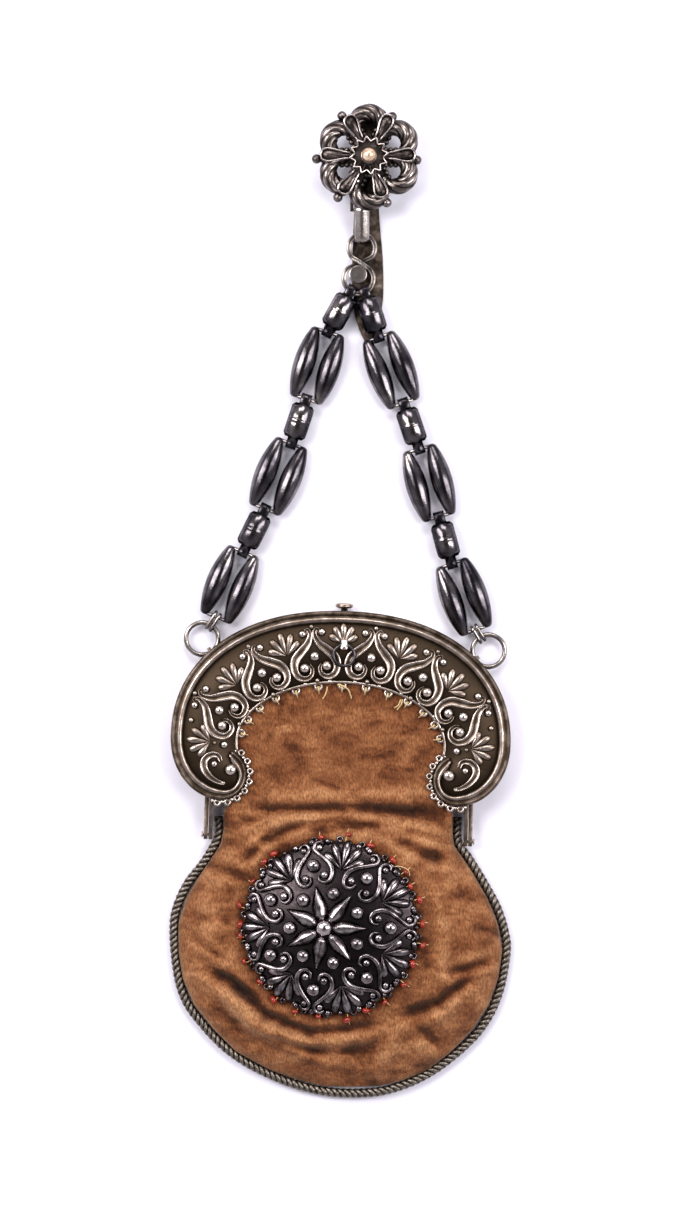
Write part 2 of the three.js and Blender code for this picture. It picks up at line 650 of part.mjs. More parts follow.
// ---- edge cord -----------------------------------------------------------------------------------
const CORD_ROUTE = [
  [-40.8, -72], [-41, -79], [-45.3, -87], [-51.2, -94.8], [-54.8, -102.9], [-55.7, -109.5],
  [-55, -120.7], [-52.8, -131], [-47.7, -139.6], [-36.4, -151.1], [-21.3, -159.4],
  [-6.2, -163.9], [8.7, -164.6], [19.8, -162.4], [31, -157.1], [42.2, -148.2],
  [49, -139.9], [53.4, -129.7], [55.5, -117.7], [55.2, -111.9], [52.6, -103.1],
  [47.4, -93.4], [42.7, -85.8], [39.4, -80.5], [39.3, -72],
];
const CORD_STEPS = 40;

function edgeCord() {
  const route = CORD_ROUTE.map(([x, y]) => new THREE.Vector3(x, y, CORD_Z));
  const section = new THREE.Shape(ellipse(0, 0, CORD_RADIUS, CORD_RADIUS, 0, 315, 7));
  return new THREE.ExtrudeGeometry(section, {
    steps: CORD_STEPS, extrudePath: new THREE.CatmullRomCurve3(route), bevelEnabled: false });
}

// ---- medallion -----------------------------------------------------------------------------------
// Height of the dome over its rim, by the distance from the middle.
const domeHeight = (r) => MEDAL.rise * (1 - (r / MEDAL.radius) ** 2.2);

function dome() {
  const outside = [0, 0.5, 0.82, 1].map((t) => {
    const r = t * MEDAL.radius;
    return new THREE.Vector2(r, domeHeight(r) + MEDAL.wall);
  });
  const inside = [0.95, 0.55, 0].map((t) => {
    const r = t * MEDAL.radius;
    return new THREE.Vector2(r, Math.max(domeHeight(r) - 0.2, 0));
  });
  const edge = [new THREE.Vector2(MEDAL.radius, 0)];
  const shape = [...outside, ...edge, ...inside].reverse();
  return bodyOf(new THREE.LatheGeometry(shape, 2 * MEDAL_REPEAT).rotateX(Math.PI / 2));
}

// Half of one heart: from its tip near the rim, out and round to the inner curl.
const HEART_SCROLL = [[25.2, 0.8, 0.9], [19, 5.9, 1.7], [14.6, 4.6, 1.5], [15.8, 1.6, 0.9]];

function medalRelief() {
  const surface = (x, y) => domeHeight(Math.hypot(x, y)) + MEDAL.wall;
  const bodies = [bodyOf(ball(0, 0, surface(0, 0), 2.1, 7, BALL_FLATNESS))];
  for (let i = 0; i < MEDAL_REPEAT; i += 1) {
    const ray = (i * 360) / MEDAL_REPEAT;
    const between = ray + 180 / MEDAL_REPEAT;
    const place = (x, y, turn) => {
      const spot = turned(x, y, turn);
      return [spot.x, spot.y];
    };
    const leaf = [[2, 0, 2.4], [12.5, 0, 0.7]];
    bodies.push(bodyOf(ridge(leaf.map(([x, y, w]) => [...place(x, y, ray), w]), 1.1, surface)));
    for (const half of [1, -1]) {
      const path = HEART_SCROLL.map(([x, y, w]) => [...place(x, y * half, ray), w]);
      bodies.push(bodyOf(ridge(path, 1, surface)));
    }
    const [bx, by] = place(11.6, 0, between);
    bodies.push(bodyOf(ball(bx, by, surface(bx, by), STUD, 5, BALL_FLATNESS)));
    const [hx, hy] = place(20.3, 0, ray);
    bodies.push(bodyOf(ball(hx, hy, surface(hx, hy), STUD, 5, BALL_FLATNESS)));
    const [sx, sy] = place(23.3, 0, between);
    bodies.push(bodyOf(shellFan(sx, sy, between - 90, surface)));
  }
  return join(bodies);
}

function medallion() {
  const ring = MEDAL.radius - EYELET.radius;
  const holes = Array.from({ length: MEDAL_HOLES }, (_, i) => {
    const angle = ((i + 0.25) * 2 * Math.PI) / MEDAL_HOLES;
    return new THREE.Vector2(ring * Math.cos(angle), ring * Math.sin(angle));
  });
  return dome().add(medalRelief()).subtract(discs(holes, EYELET.hole, 3, -1, 4));
}

// ---- chain -------------------------------------------------------------------------------------
// Spindle pairs: the middle of each pair and its lean from straight down, in degrees.
const PAIRS = {
  left: [
    { x: -7.8, y: 78.7, lean: -18 }, { x: -20.8, y: 41.7, lean: -22.2 },
    { x: -37, y: 5.5, lean: -22.8 },
  ],
  right: [
    { x: 17, y: 77.2, lean: 20.8 }, { x: 29.7, y: 39.5, lean: 16.5 },
    { x: 41.3, y: 1.4, lean: 20.1 },
  ],
};
// Where each strand's first strap holds the lower loop, and how far its end reaches past it.
const HANG = { left: { x: 3.4, y: 103.55 }, right: { x: 8.2, y: 103.22 } };
const HANG_REACH = 1.55;

function spindlePair() {
  const { radius, tip, half, apart, straight } = SPINDLE;
  const points = [[0, -half], [tip, -half], [radius, -straight], [radius, straight],
    [tip, half], [0, half]];
  const one = new THREE.LatheGeometry(points.map(([r, h]) => new THREE.Vector2(r, h)), 10);
  const bodies = [1, -1].map((side) => bodyOf(one.clone().translate((side * apart) / 2, 0, 0)));
  for (const end of [1, -1]) {
    const y = end * CROSSBAR.at;
    bodies.push(bodyOf(rod(CROSSBAR.radius, new THREE.Vector3(-apart / 2, y, 0),
      new THREE.Vector3(apart / 2, y, 0), 4)));
  }
  return geometryOf(join(bodies));
}

const barOf = ({ x, y, lean }, end) => new THREE.Vector2(
  x + end * CROSSBAR.at * Math.sin(lean * DEG), y - end * CROSSBAR.at * Math.cos(lean * DEG));

// A stamped strap bent round two bars that lie `length` apart, with a domed front.
function strapLink(length, startReach, startTab) {
  const open = CROSSBAR.radius + LOOSE;
  const centre = length / 2;
  const start = open - startReach;
  const outline = (grow, rise) => {
    const lower = ellipse(start, 0, open + grow, open + grow, 90, 270, 3);
    const upper = ellipse(length, 0, open + grow, open + grow, -90, 90, 3);
    const swell = [0.85, 0, -0.85].map((t) => new THREE.Vector2(
      centre + t * STRAP.half, open + grow + rise * Math.sqrt(1 - t * t)));
    return [...lower, ...upper, ...swell];
  };
  const strip = prism(outline(STRAP.wall, STRAP.dome), -STRAP.barrel / 2, STRAP.barrel / 2,
    [outline(0, STRAP.dome)]);
  const cut = [
    [-4, startTab / 2], [centre - STRAP.half, startTab / 2],
    [centre - STRAP.half + 1.2, STRAP.barrel / 2], [centre + STRAP.half - 1.2, STRAP.barrel / 2],
    [centre + STRAP.half, STRAP.tab / 2], [length + 4, STRAP.tab / 2],
  ];
  const plan = [...cut, ...cut.map(([x, y]) => [x, -y]).reverse()]
    .map(([x, y]) => new THREE.Vector2(x, y));
  return geometryOf(bodyOf(strip.rotateX(Math.PI / 2)).intersect(bodyOf(prism(plan, -5, 8))));
}

// An upright oval loop of wire from one bar at the origin to another `length` away.
function jumpRing(length, drop) {
  const reach = JUMP_WIRE + GAP;
  const near = CROSSBAR.radius + reach;
  const far = RING_WIRE + reach;
  const points = [];
  for (const [x, z, r, from] of [[0, 0, near, 90], [length, -drop, far, -90]]) {
    for (let i = 0; i <= 3; i += 1) {
      const angle = (from + 60 * i) * DEG;
      points.push(new THREE.Vector3(x + r * Math.cos(angle), 0, z + r * Math.sin(angle)));
    }
  }
  return geometryOf(bodyOf(wire(points, JUMP_WIRE, 5, new THREE.Vector3(0, 1, 0), true)));
}

function buildStrand(side) {
  const pairs = PAIRS[side];
  let from = new THREE.Vector2(HANG[side].x, HANG[side].y);
  let reach = HANG_REACH;
  let tab = STRAP.hangTab;
  pairs.forEach((pair, i) => {
    const to = barOf(pair, -1);
    const along = to.clone().sub(from);
    const strap = strapLink(along.length(), reach, tab);
    const link = mesh(purse, `strap_link_${side}_${i + 1}`, strap, DARK_SILVER);
    link.position.set(from.x, from.y, CHAIN_Z);
    link.rotation.z = Math.atan2(along.y, along.x);
    const spindles = mesh(purse, `spindle_link_${side}_${i + 1}`, spindlePair(), DARK_SILVER);
    spindles.position.set(pair.x, pair.y, CHAIN_Z);
    spindles.rotation.z = pair.lean * DEG;
    from = barOf(pair, 1);
    reach = CROSSBAR.radius + LOOSE;
    tab = STRAP.tab;
  });
  return from;
}

const toWorld = (spot) => spot.clone()
  .rotateAround(new THREE.Vector2(0, 0), FRAME_TILT)
  .add(new THREE.Vector2(FRAME_X, FRAME_Y));

// The big ring in the frame's eye and the two jump rings that hang it on the last crossbar.
function buildRings(side, bar) {
  const centre = toWorld(ringCentre(RINGS[side]));
  const ring = flatRing(RING_RADIUS, RING_WIRE, 14, 5);
  mesh(purse, `ring_${side}`, ring, SILVER).position.set(centre.x, centre.y, RING_Z);
  const along = centre.clone().sub(bar);
  const length = along.length() - RING_RADIUS;
  const drop = CHAIN_Z - RING_Z;
  ['a', 'b'].forEach((letter, i) => {
    const offset = (i - 0.5) * 2 * (JUMP_WIRE + 0.25);
    const sideways = new THREE.Vector2(-along.y, along.x).normalize().multiplyScalar(offset);
    const loop = mesh(purse, `jump_ring_${side}_${letter}`, jumpRing(length, drop), SILVER);
    loop.position.set(bar.x + sideways.x, bar.y + sideways.y, CHAIN_Z);
    loop.rotation.z = Math.atan2(along.y, along.x);
  });
}

// ---- figure-eight link and bail -------------------------------------------------------------------
function eightLink() {
  const loops = [UPPER_LOOP, LOWER_LOOP].map(({ x, y, rx, ry }) => {
    const path = ellipse(x, y, rx, ry, 0, 335, 13).map((p) => new THREE.Vector3(p.x, p.y, EIGHT.z));
    return bodyOf(wire(path, EIGHT.wire, 5, UP, true));
  });
  const disc = prism(ellipse(DISC.x, DISC.y, DISC.radius, DISC.radius, 0, 324, 9),
    EIGHT.z - DISC.thickness / 2, EIGHT.z + DISC.thickness / 2);
  return geometryOf(join([...loops, bodyOf(disc)]));
}

function bail() {
  const bottom = UPPER_LOOP.y + UPPER_LOOP.ry - 0.7;
  const outline = (grow) => [
    ...ellipse(BAIL.barY, BAIL.barZ, 0.85 + grow, 0.85 + grow, 115, -60, 6),
    ...ellipse(bottom, EIGHT.z, 1.15 + grow, 1.15 + grow, -80, -240, 6),
  ];
  return geometryOf(bodyOf(profile(outline(BAIL.wall), BAIL.x - BAIL.width / 2,
    BAIL.x + BAIL.width / 2, [outline(0)])));
}

// ---- belt hook ---------------------------------------------------------------------------------
// The tongue's half width and middle from the bend to its tip.
const TONGUE = [
  { y: 162, x: 9.5, half: 4 }, { y: 150, x: 9.2, half: 4 }, { y: 130, x: 8.8, half: 4.2 },
  { y: 115, x: 9.1, half: 5.1 }, { y: 103, x: 9.2, half: 5.2 }, { y: 96, x: 9.2, half: 4.4 },
  { y: 90, x: 9.7, half: 3 }, { y: 85.6, x: 10.1, half: 1 },
];

function beltHook() {
  const { thickness, plateZ, bendY, width, taperTop, taperFoot } = HOOK;
  const left = TONGUE.map(({ x, y, half }) => new THREE.Vector2(x - half, y));
  const right = TONGUE.map(({ x, y, half }) => new THREE.Vector2(x + half, y)).reverse();
  const tongue = prism([...left, ...right], 0, thickness);
  const outer = (plateZ + thickness) / 2;
  const arc = (r, from, to) => ellipse(bendY, outer, r, r, from, to, 8);
  const bend = profile([...arc(outer, -90, 90), ...arc(outer - thickness, 90, -90)],
    BROOCH.x - width / 2, BROOCH.x + width / 2);
  const { x, barY, bar, barZ } = BAIL;
  const slotHalf = BAIL.width / 2 + GAP + 0.1;
  const armHalf = slotHalf + 1;
  const slotTop = barY + 2.4;
  const plateOutline = [
    [BROOCH.x - width / 2, bendY + 0.1], [BROOCH.x - width / 2, taperTop],
    [x - armHalf, taperFoot], [x - armHalf, barY - bar], [x - slotHalf, barY - bar],
    [x - slotHalf, slotTop], [x + slotHalf, slotTop], [x + slotHalf, barY - bar],
    [x + armHalf, barY - bar], [x + armHalf, taperFoot], [BROOCH.x + width / 2, taperTop],
    [BROOCH.x + width / 2, bendY + 0.1],
  ].map(([px, py]) => new THREE.Vector2(px, py));
  const backPlate = prism(plateOutline, plateZ, plateZ + thickness);
  const crossbar = rod(bar, new THREE.Vector3(x - armHalf + 0.2, barY, barZ),
    new THREE.Vector3(x + armHalf - 0.2, barY, barZ));
  return geometryOf(join([tongue, bend, backPlate, crossbar].map(bodyOf)));
}

// ---- brooch ------------------------------------------------------------------------------------
function broochLobe(angle) {
  const { centre, arc, thick, thin, reach } = LOBE;
  const steps = 5;
  const middle = turned(centre, 0, angle);
  const path = ellipse(middle.x, middle.y, arc, arc, angle - reach, angle + reach, steps)
    .map((p) => new THREE.Vector3(p.x, p.y, 0));
  const radii = path.map((_, i) => thin + (thick - thin) * Math.sin((i / steps) * Math.PI) ** 0.7);
  return bodyOf(wire(path, radii, 5, UP));
}

function broochRosette() {
  const bodies = [];
  const armTop = -1.2;
  for (let i = 0; i < 6; i += 1) {
    const spot = turned(BROOCH_BALL.at, 0, i * 60);
    bodies.push(broochLobe(30 + i * 60));
    bodies.push(bodyOf(ball(spot.x, spot.y, 0, BROOCH_BALL.radius)));
  }
  const arms = Array.from({ length: 18 }, (_, i) => {
    const [x, y] = [[10.2, -2.2], [10.2, 2.2], [4.4, 2.5]][i % 3];
    return turned(x, y, 60 * Math.floor(i / 3));
  });
  bodies.push(bodyOf(prism(arms, -LOBE.thick, armTop)));
  bodies.push(bodyOf(rod(1.6, new THREE.Vector3(0, 0, armTop - 0.5),
    new THREE.Vector3(0, 0, PETAL.z - GAP - BROOCH.z), 6)));
  return geometryOf(join(bodies));
}

// Six spoon-shaped petals with a sunk middle, joined at the hub.
function broochPetals() {
  const { thickness, floor, hub } = PETAL;
  const bodies = [bodyOf(prism(ellipse(0, 0, hub, hub, 0, 300, 5), 0, thickness))];
  for (let i = 0; i < 6; i += 1) {
    const half = [[1.5, 1.1], [5, 1], [12, 2.4], [14.6, 1.7], [15.4, 0]];
    const outline = [...half, ...half.slice(0, -1).map(([x, y]) => [x, -y]).reverse()]
      .map(([x, y]) => turned(x, y, i * 60));
    const hollow = [[7, 0], [12, 1.5], [14, 0], [12, -1.5]]
      .map(([x, y]) => turned(x, y, i * 60));
    bodies.push(bodyOf(prism(outline, 0, thickness)).subtract(bodyOf(prism(hollow, floor, 2))));
  }
  return geometryOf(join(bodies));
}

function broochCalyx() {
  const { thickness, tip, notch, bore } = CALYX;
  const star = Array.from({ length: 24 }, (_, i) => turned(i % 2 === 0 ? tip : notch, 0, i * 15));
  return geometryOf(bodyOf(prism(star, 0, thickness, [ellipse(0, 0, bore, bore, 0, 315, 7)])));
}

function broochBead() {
  const { radius, middle, peg } = BEAD;
  const points = [[0, 0], [peg, 0], [peg, 0.65]];
  for (let i = 1; i <= 6; i += 1) {
    const angle = (-70 + (i - 1) * 32) * DEG;
    points.push([i === 6 ? 0 : radius * Math.cos(angle), middle + radius * Math.sin(angle)]);
  }
  return new THREE.LatheGeometry(points.map(([r, h]) => new THREE.Vector2(r, h)), 10)
    .rotateX(Math.PI / 2);
}

function buildBrooch() {
  const brooch = new THREE.Group();
  brooch.position.set(BROOCH.x, BROOCH.y, 0);
  purse.add(brooch);
  mesh(brooch, 'brooch_rosette', broochRosette(), DARK_SILVER).position.z = BROOCH.z;
  mesh(brooch, 'brooch_petals', broochPetals(), DARK_SILVER).position.z = PETAL.z;
  mesh(brooch, 'brooch_calyx', broochCalyx(), DARK_SILVER).position.z = CALYX.z;
  mesh(brooch, 'brooch_bead', geometryOf(bodyOf(broochBead())), GOLD).position.z = CALYX.z;
}

// ---- the whole purse --------------------------------------------------------------------------
buildFrame();
mesh(purse, 'velvet_bag', geometryOf(velvetBag()), VELVET);
mesh(purse, 'edge_cord', geometryOf(bodyOf(edgeCord())), CORD_SILVER);
const plaque = mesh(purse, 'medallion', geometryOf(medallion()), DARK_SILVER);
plaque.position.set(MEDAL.x, MEDAL.y, MEDAL.seat);
plaque.rotation.y = MEDAL_TILT;
for (const side of ['left', 'right']) {
  buildRings(side, buildStrand(side));
}
mesh(purse, 'eight_link', eightLink(), SILVER);
mesh(purse, 'brooch_bail', bail(), SILVER);
mesh(purse, 'belt_hook', beltHook(), DARK_SILVER);
buildBrooch();

// the origin lies under the middle of the whole purse
const bounds = new THREE.Box3().setFromObject(purse, true);
const middle = bounds.getCenter(new THREE.Vector3());
purse.position.set(-middle.x, -middle.y, -bounds.min.z);

export default purse;
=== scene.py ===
import math
import bmesh
import bpy
from mathutils import Matrix, Vector, noise


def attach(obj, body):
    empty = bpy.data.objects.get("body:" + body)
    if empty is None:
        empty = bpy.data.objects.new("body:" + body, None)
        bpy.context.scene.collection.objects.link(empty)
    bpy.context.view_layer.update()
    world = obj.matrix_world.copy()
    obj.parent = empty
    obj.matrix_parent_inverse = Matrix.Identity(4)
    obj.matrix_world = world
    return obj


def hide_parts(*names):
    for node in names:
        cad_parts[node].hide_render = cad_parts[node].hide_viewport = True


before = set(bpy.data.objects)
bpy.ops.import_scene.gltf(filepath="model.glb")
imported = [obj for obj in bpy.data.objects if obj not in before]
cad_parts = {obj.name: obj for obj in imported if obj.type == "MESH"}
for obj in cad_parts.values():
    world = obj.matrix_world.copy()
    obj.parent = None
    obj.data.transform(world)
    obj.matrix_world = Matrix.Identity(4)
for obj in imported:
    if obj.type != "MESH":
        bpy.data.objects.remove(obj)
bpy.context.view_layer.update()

# ---- table, light and camera ---------------------------------------------------------------------
# The purse lies flat on a white table under three big soft lamps, one on each side and one past its
# top.  The camera looks straight down on it from well above, so that it is nearly free of
# perspective.
CAMERA_OVER = (0.00336, -0.00156)
CAMERA_HEIGHT = 1.4                           # over the top of the frame's plate
PLATE_HEIGHT = 0.008
SEEN_LENGTH = 0.4047                          # length of table in view at the plate's height
SENSOR = 36.0
TABLE_REACH = 3.0
LAMPS = [
    # name, place, width, length, watts, colour
    ("lamp_left", (-0.75, 0.35, 0.95), 0.5, 0.9, 14.0, (1.0, 0.98, 1.0)),
    ("lamp_right", (0.8, 0.1, 0.9), 0.45, 0.9, 10.5, (0.98, 0.97, 1.0)),
    ("lamp_top", (0.05, 1.0, 1.0), 0.9, 0.35, 9.5, (1.0, 0.98, 0.97)),
]

camera_data = bpy.data.cameras.new("camera")
camera_data.sensor_width = SENSOR
camera_data.lens = SENSOR * CAMERA_HEIGHT / SEEN_LENGTH
camera = bpy.data.objects.new("camera", camera_data)
camera.location = (*CAMERA_OVER, CAMERA_HEIGHT + PLATE_HEIGHT)
bpy.context.collection.objects.link(camera)
bpy.context.scene.camera = camera
bpy.context.scene.view_settings.view_transform = "Standard"

for name, place, width, length, watts, colour in LAMPS:
    lamp_data = bpy.data.lights.new(name, "AREA")
    lamp_data.shape = "RECTANGLE"
    lamp_data.size = width
    lamp_data.size_y = length
    lamp_data.energy = watts
    lamp_data.color = colour
    lamp = bpy.data.objects.new(name, lamp_data)
    lamp.location = place
    lamp.rotation_euler = (-Vector(place)).to_track_quat("-Z", "Y").to_euler()
    bpy.context.collection.objects.link(lamp)


def node_adder(tree):
    """A function that adds a node to the tree, with its links and its settings."""
    def add(kind, links=(), **settings):
        node = tree.nodes.new(kind)
        for key, value in settings.items():
            if key in node.inputs:
                node.inputs[key].default_value = value
            else:
                setattr(node, key, value)
        for socket, source in links:
            tree.links.new(source, node.inputs[socket])
        return node

    return add


def colour_ramp(add, source, stops):
    """Colours by a value, each stop a place and a colour."""
    node = add("ShaderNodeValToRGB", [("Fac", source)])
    elements = node.color_ramp.elements
    while len(elements) < len(stops):
        elements.new(0.5)
    for element, (place, colour) in zip(elements, stops):
        element.position = place
        element.color = (*colour, 1.0)
    return node.outputs["Color"]


def new_material(name):
    """A material, its node tree, its shader and what adds nodes to it."""
    material = bpy.data.materials.new(name)
    material.use_nodes = True
    tree = material.node_tree
    return material, tree, tree.nodes["Principled BSDF"], node_adder(tree)


def set_sockets(node, values):
    for socket, value in values.items():
        node.inputs[socket].default_value = value


def grain(add, kind="ShaderNodeTexNoise", **settings):
    """A fine pattern that stays fixed on the piece."""
    place = add("ShaderNodeTexCoord").outputs["Object"]
    return add(kind, [("Vector", place)], **settings).outputs["Fac"]


def grained_material(name, shades, finish, **pattern):
    """A material that runs through a few shades with its grain."""
    material, tree, shader, add = new_material(name)
    tree.links.new(colour_ramp(add, grain(add, **pattern), shades), shader.inputs["Base Color"])
    set_sockets(shader, finish)
    return material


# pale walls all round, and a dark opening overhead where the camera stands
world = bpy.data.worlds.new("studio")
world.use_nodes = True
bpy.context.scene.world = world
sky = world.node_tree
add = node_adder(sky)
direction = add("ShaderNodeTexCoord").outputs["Generated"]
height = add("ShaderNodeSeparateXYZ", [("Vector", direction)]).outputs["Z"]
walls = colour_ramp(add, height, [
    (0.0, (0.75, 0.74, 0.82)), (0.5, (0.93, 0.92, 1.0)), (0.78, (0.62, 0.60, 0.66)),
    (0.97, (0.10, 0.09, 0.10))])
background = sky.nodes["Background"]
sky.links.new(walls, background.inputs["Color"])
set_sockets(background, {"Strength": 0.62})

table_paper = grained_material(
    "table_paper", [(0.3, (0.85, 0.83, 0.9)), (0.7, (0.87, 0.85, 0.92))],
    {"Roughness": 0.8, "Specular IOR Level": 0.1}, Scale=900.0, Detail=3.0)
bm = bmesh.new()
bmesh.ops.create_grid(bm, x_segments=1, y_segments=1, size=TABLE_REACH)
table_mesh = bpy.data.meshes.new("table")
bm.to_mesh(table_mesh)
bm.free()
table_mesh.materials.append(table_paper)
table = bpy.data.objects.new("table", table_mesh)
bpy.context.collection.objects.link(table)


# ---- velvet bag ----------------------------------------------------------------------------------
# Two flat panels of golden brown silk velvet, seamed round the edge and sewn to the frame's halves.
# It lies nearly empty, so the front is rumpled round the medallion, with a fold under the frame.
MM = 0.001
PURSE_MIDDLE = Vector((0.13, 0.44, 0.0))      # the purse's middle from the origin
CLOTH = 1.2
BAG_ROWS = [
    # y, left edge, right edge, front in the middle, back
    (-25.6, -2.6, 2.6, 8.6, 1.6), (-26.4, -11.0, 11.0, 8.6, 1.6), (-28.8, -19.0, 19.0, 8.6, 1.6),
    (-32.5, -26.6, 26.6, 8.6, 1.6), (-38.3, -32.9, 32.9, 8.6, 1.6), (-47.7, -36.2, 36.2, 8.7, 1.6),
    (-57, -35.7, 35.7, 8.8, 1.6), (-64.5, -36, 36, 9.6, 1.6), (-67.5, -37, 36.6, 10.9, 1.6),
    (-70.5, -38.7, 37.2, 9.8, 1.6), (-75, -38.7, 37.4, 10.3, 0.7), (-82, -40.0, 37.7, 12.3, 0.1),
    (-90, -45.5, 43.3, 13, 0.1), (-99, -51, 48.6, 13.2, 0.1), (-108, -53.8, 52.3, 13.4, 0.1),
    (-117, -53.8, 53.8, 13.4, 0.1), (-126, -52.4, 52.5, 13.3, 0.1), (-135, -48.6, 49.3, 12.7, 0.1),
    (-143.5, -41.8, 43.8, 11.3, 0.1), (-151, -34.2, 36.4, 9.4, 0.1), (-157, -23, 28.6, 7, 0.1),
    (-160.5, -13, 20, 5.2, 0.1), (-162.3, -5.2, 12.8, 4.1, 0.1),
]
CREASES = [
    # from x, y to x, y, depth, width; a negative depth is a swell
    (-29, -69.6, 8, -69.0, 1.0, 1.5), (8, -69.0, 34, -71.5, 1.5, 2.2),
    (20, -72.5, 35, -75, 0.9, 1.8), (-26, -65.0, 30, -64.2, -0.5, 2.0),
    (-34, -74.5, -22, -70.8, 0.8, 1.6), (-31, -86.0, -25, -79.5, 1.3, 1.9),
    (-25, -79.5, -13, -74.6, 1.1, 1.7), (-29.5, -81, -21, -74.5, -0.8, 1.8),
    (-21, -74.5, -9, -71.8, -0.7, 1.6), (-46, -87, -31, -92, 0.8, 1.7),
    (-51, -104, -36, -107, 0.7, 2.0), (-37, -96, -38, -112, 0.7, 2.2),
    (-43, -123, -33, -129.5, 1.6, 2.3), (-33, -129.5, -24, -138.5, 1.8, 2.4),
    (-24, -138.5, -10, -143.6, 1.7, 2.1), (-10, -143.6, 10, -141.6, 1.2, 1.9),
    (-38, -131, -29, -141.5, -1.0, 2.6), (-29, -141.5, -12, -148, -0.9, 2.6),
    (10, -149.5, 3, -150.2, 0.9, 2.6), (-12, -149.4, 3, -150.2, 0.8, 1.7),
    (22, -137.5, 33, -134, 1.7, 2.4), (33, -134, 43, -125, 1.6, 2.0),
    (37, -124, 51, -119.5, 1.3, 1.7), (46, -108.5, 54, -112, 1.0, 1.6),
    (32, -85, 35.5, -105, 0.8, 1.7), (12, -76.5, 33, -87, 0.9, 1.6),
    (34.5, -90, 33.5, -124, -0.9, 2.6), (41, -80.5, 40, -92, 0.7, 2.0),
    (19, -144, 13, -157, -0.8, 2.6), (25, -141, 33, -149, 0.8, 2.2),
    (-45, -99, -44, -118, -0.5, 3.0), (20, -75.5, 36, -80.5, 0.8, 1.4),
    (-8, -76.6, 12, -74.6, 0.9, 1.5), (-50, -112, -39, -119, 0.5, 1.3),
    (38, -98, 50, -101, 0.5, 1.4), (-20, -146, -2, -152.5, 0.6, 1.6),
]
CREASE_TAPER = 0.4                            # how much shallower a crease is at its ends
CREASE_LIP = 0.45                             # the swell beside a crease, as a share of its depth
CREASE_DEPTH = 1.5                            # of a crease of depth 1, mm
RUMPLES = [
    # waves across and along in each mm, layer of the noise, strength
    (0.13, 0.17, 3.0, 1.0), (0.33, 0.41, 8.0, 0.5), (0.62, 0.86, 2.0, 0.3),
]
RUMPLE_HEIGHT = 0.6
RUMPLED_BELOW = (-64, -58)                    # smooth above these heights, inside the frame
FREE_BELOW = (-80, -72)                       # the sides leave the frame between these heights
SIDES_OPEN_ABOVE = -74.5
SEAM_HEIGHT = 2.6
ROOM_UNDER_ENDS = 8.7                         # the height that the frame's lower ends leave
ENDS_FROM = 24.0                              # their distance from the middle
BACK_CURL = 1.5
BACK_RUMPLE = 0.15
MEDAL_CENTRE = Vector((-3.1, -108.3))
MEDAL_RADIUS = 29.0
MEDAL_SEAT = 12.0
MEDAL_TILT = -5                               # degrees
SEAT_GAP = 0.35
SEAT_RADIUS = 36.0                            # the cloth slopes down from the medallion to here
BAG_COLUMNS = 110
BACK_COLUMNS = 36
BAG_LENGTHS = 150
CROWDING = 0.035                              # brings the rows closer at the top and the foot


def limited(value):
    return min(max(value, 0.0), 1.0)


def smoothstep(value, low, high):
    t = limited((value - low) / (high - low))
    return t * t * (3 - 2 * t)


def bag_row(y):
    """Left edge, right edge, front and back of the bag at a height y."""
    for above, below in zip(BAG_ROWS, BAG_ROWS[1:]):
        if above[0] >= y >= below[0]:
            t = (above[0] - y) / (above[0] - below[0])
            return [p + (q - p) * t for p, q in zip(above[1:], below[1:])]
    return BAG_ROWS[-1][1:]


def crease_at(x, y):
    """How deep the creases are at a place; below zero on a swell."""
    depth = 0.0
    for ax, ay, bx, by, deep, width in CREASES:
        along = Vector((bx - ax, by - ay))
        t = limited(Vector((x - ax, y - ay)).dot(along) / along.length_squared)
        off = math.hypot(x - ax - t * along.x, y - ay - t * along.y)
        off = math.copysign(off, (x - ax) * along.y - (y - ay) * along.x)
        deep *= 1 - CREASE_TAPER * (2 * t - 1) ** 4
        depth += deep * (math.exp(-(off / width) ** 2)
                         - CREASE_LIP * math.exp(-((off - 1.7 * width) / width) ** 2))
    return depth


def front_of_bag(x, y, s, front):
    """Height of the bag's front, with s from -1 to 1 across it, and how deep in a crease it is."""
    arch = max(1 - abs(s) ** 3.4, 0.0) ** (1 / 1.9)
    lower = SEAM_HEIGHT + (front - SEAM_HEIGHT) * arch
    upper = min(front, ROOM_UNDER_ENDS) if abs(x) > ENDS_FROM else front
    z = lower + (upper - lower) * smoothstep(y, *FREE_BELOW)
    depth = crease_at(x, y)
    rumple = sum(strength * noise.noise(Vector((x * across, y * along, layer)))
                 for across, along, layer, strength in RUMPLES)
    loose = min(arch * 1.6, 1.0) * (1 - smoothstep(y, *RUMPLED_BELOW))
    z += (RUMPLE_HEIGHT * rumple - CREASE_DEPTH * depth) * loose
    dx, dy = x - MEDAL_CENTRE.x, y - MEDAL_CENTRE.y
    seat = MEDAL_SEAT - SEAT_GAP - dx * math.tan(math.radians(MEDAL_TILT))
    near = 1 - smoothstep(math.hypot(dx, dy), MEDAL_RADIUS + 0.5, SEAT_RADIUS)
    return z + (seat - z) * near, depth - RUMPLE_HEIGHT * rumple


def painted_pile_shade(x, y, depth):
    """Painted shade on the pile: darker in creases and lighter on their lips and swells, a painted
    shadow round the medallion's rim, and painted shade inside the mouth under the frame.
    """
    off = math.hypot(x - MEDAL_CENTRE.x, y - MEDAL_CENTRE.y)
    # a painted shadow in a ring just outside the medallion's rim
    painted_rim_shadow = math.exp(-((off - MEDAL_RADIUS - 0.5) / 2.6) ** 2)
    # the last term is painted shade inside the mouth, under the frame
    return 0.19 * max(min(depth, 2.0), -0.9) + 0.16 * painted_rim_shadow + 0.06 * smoothstep(y, -68, -60)


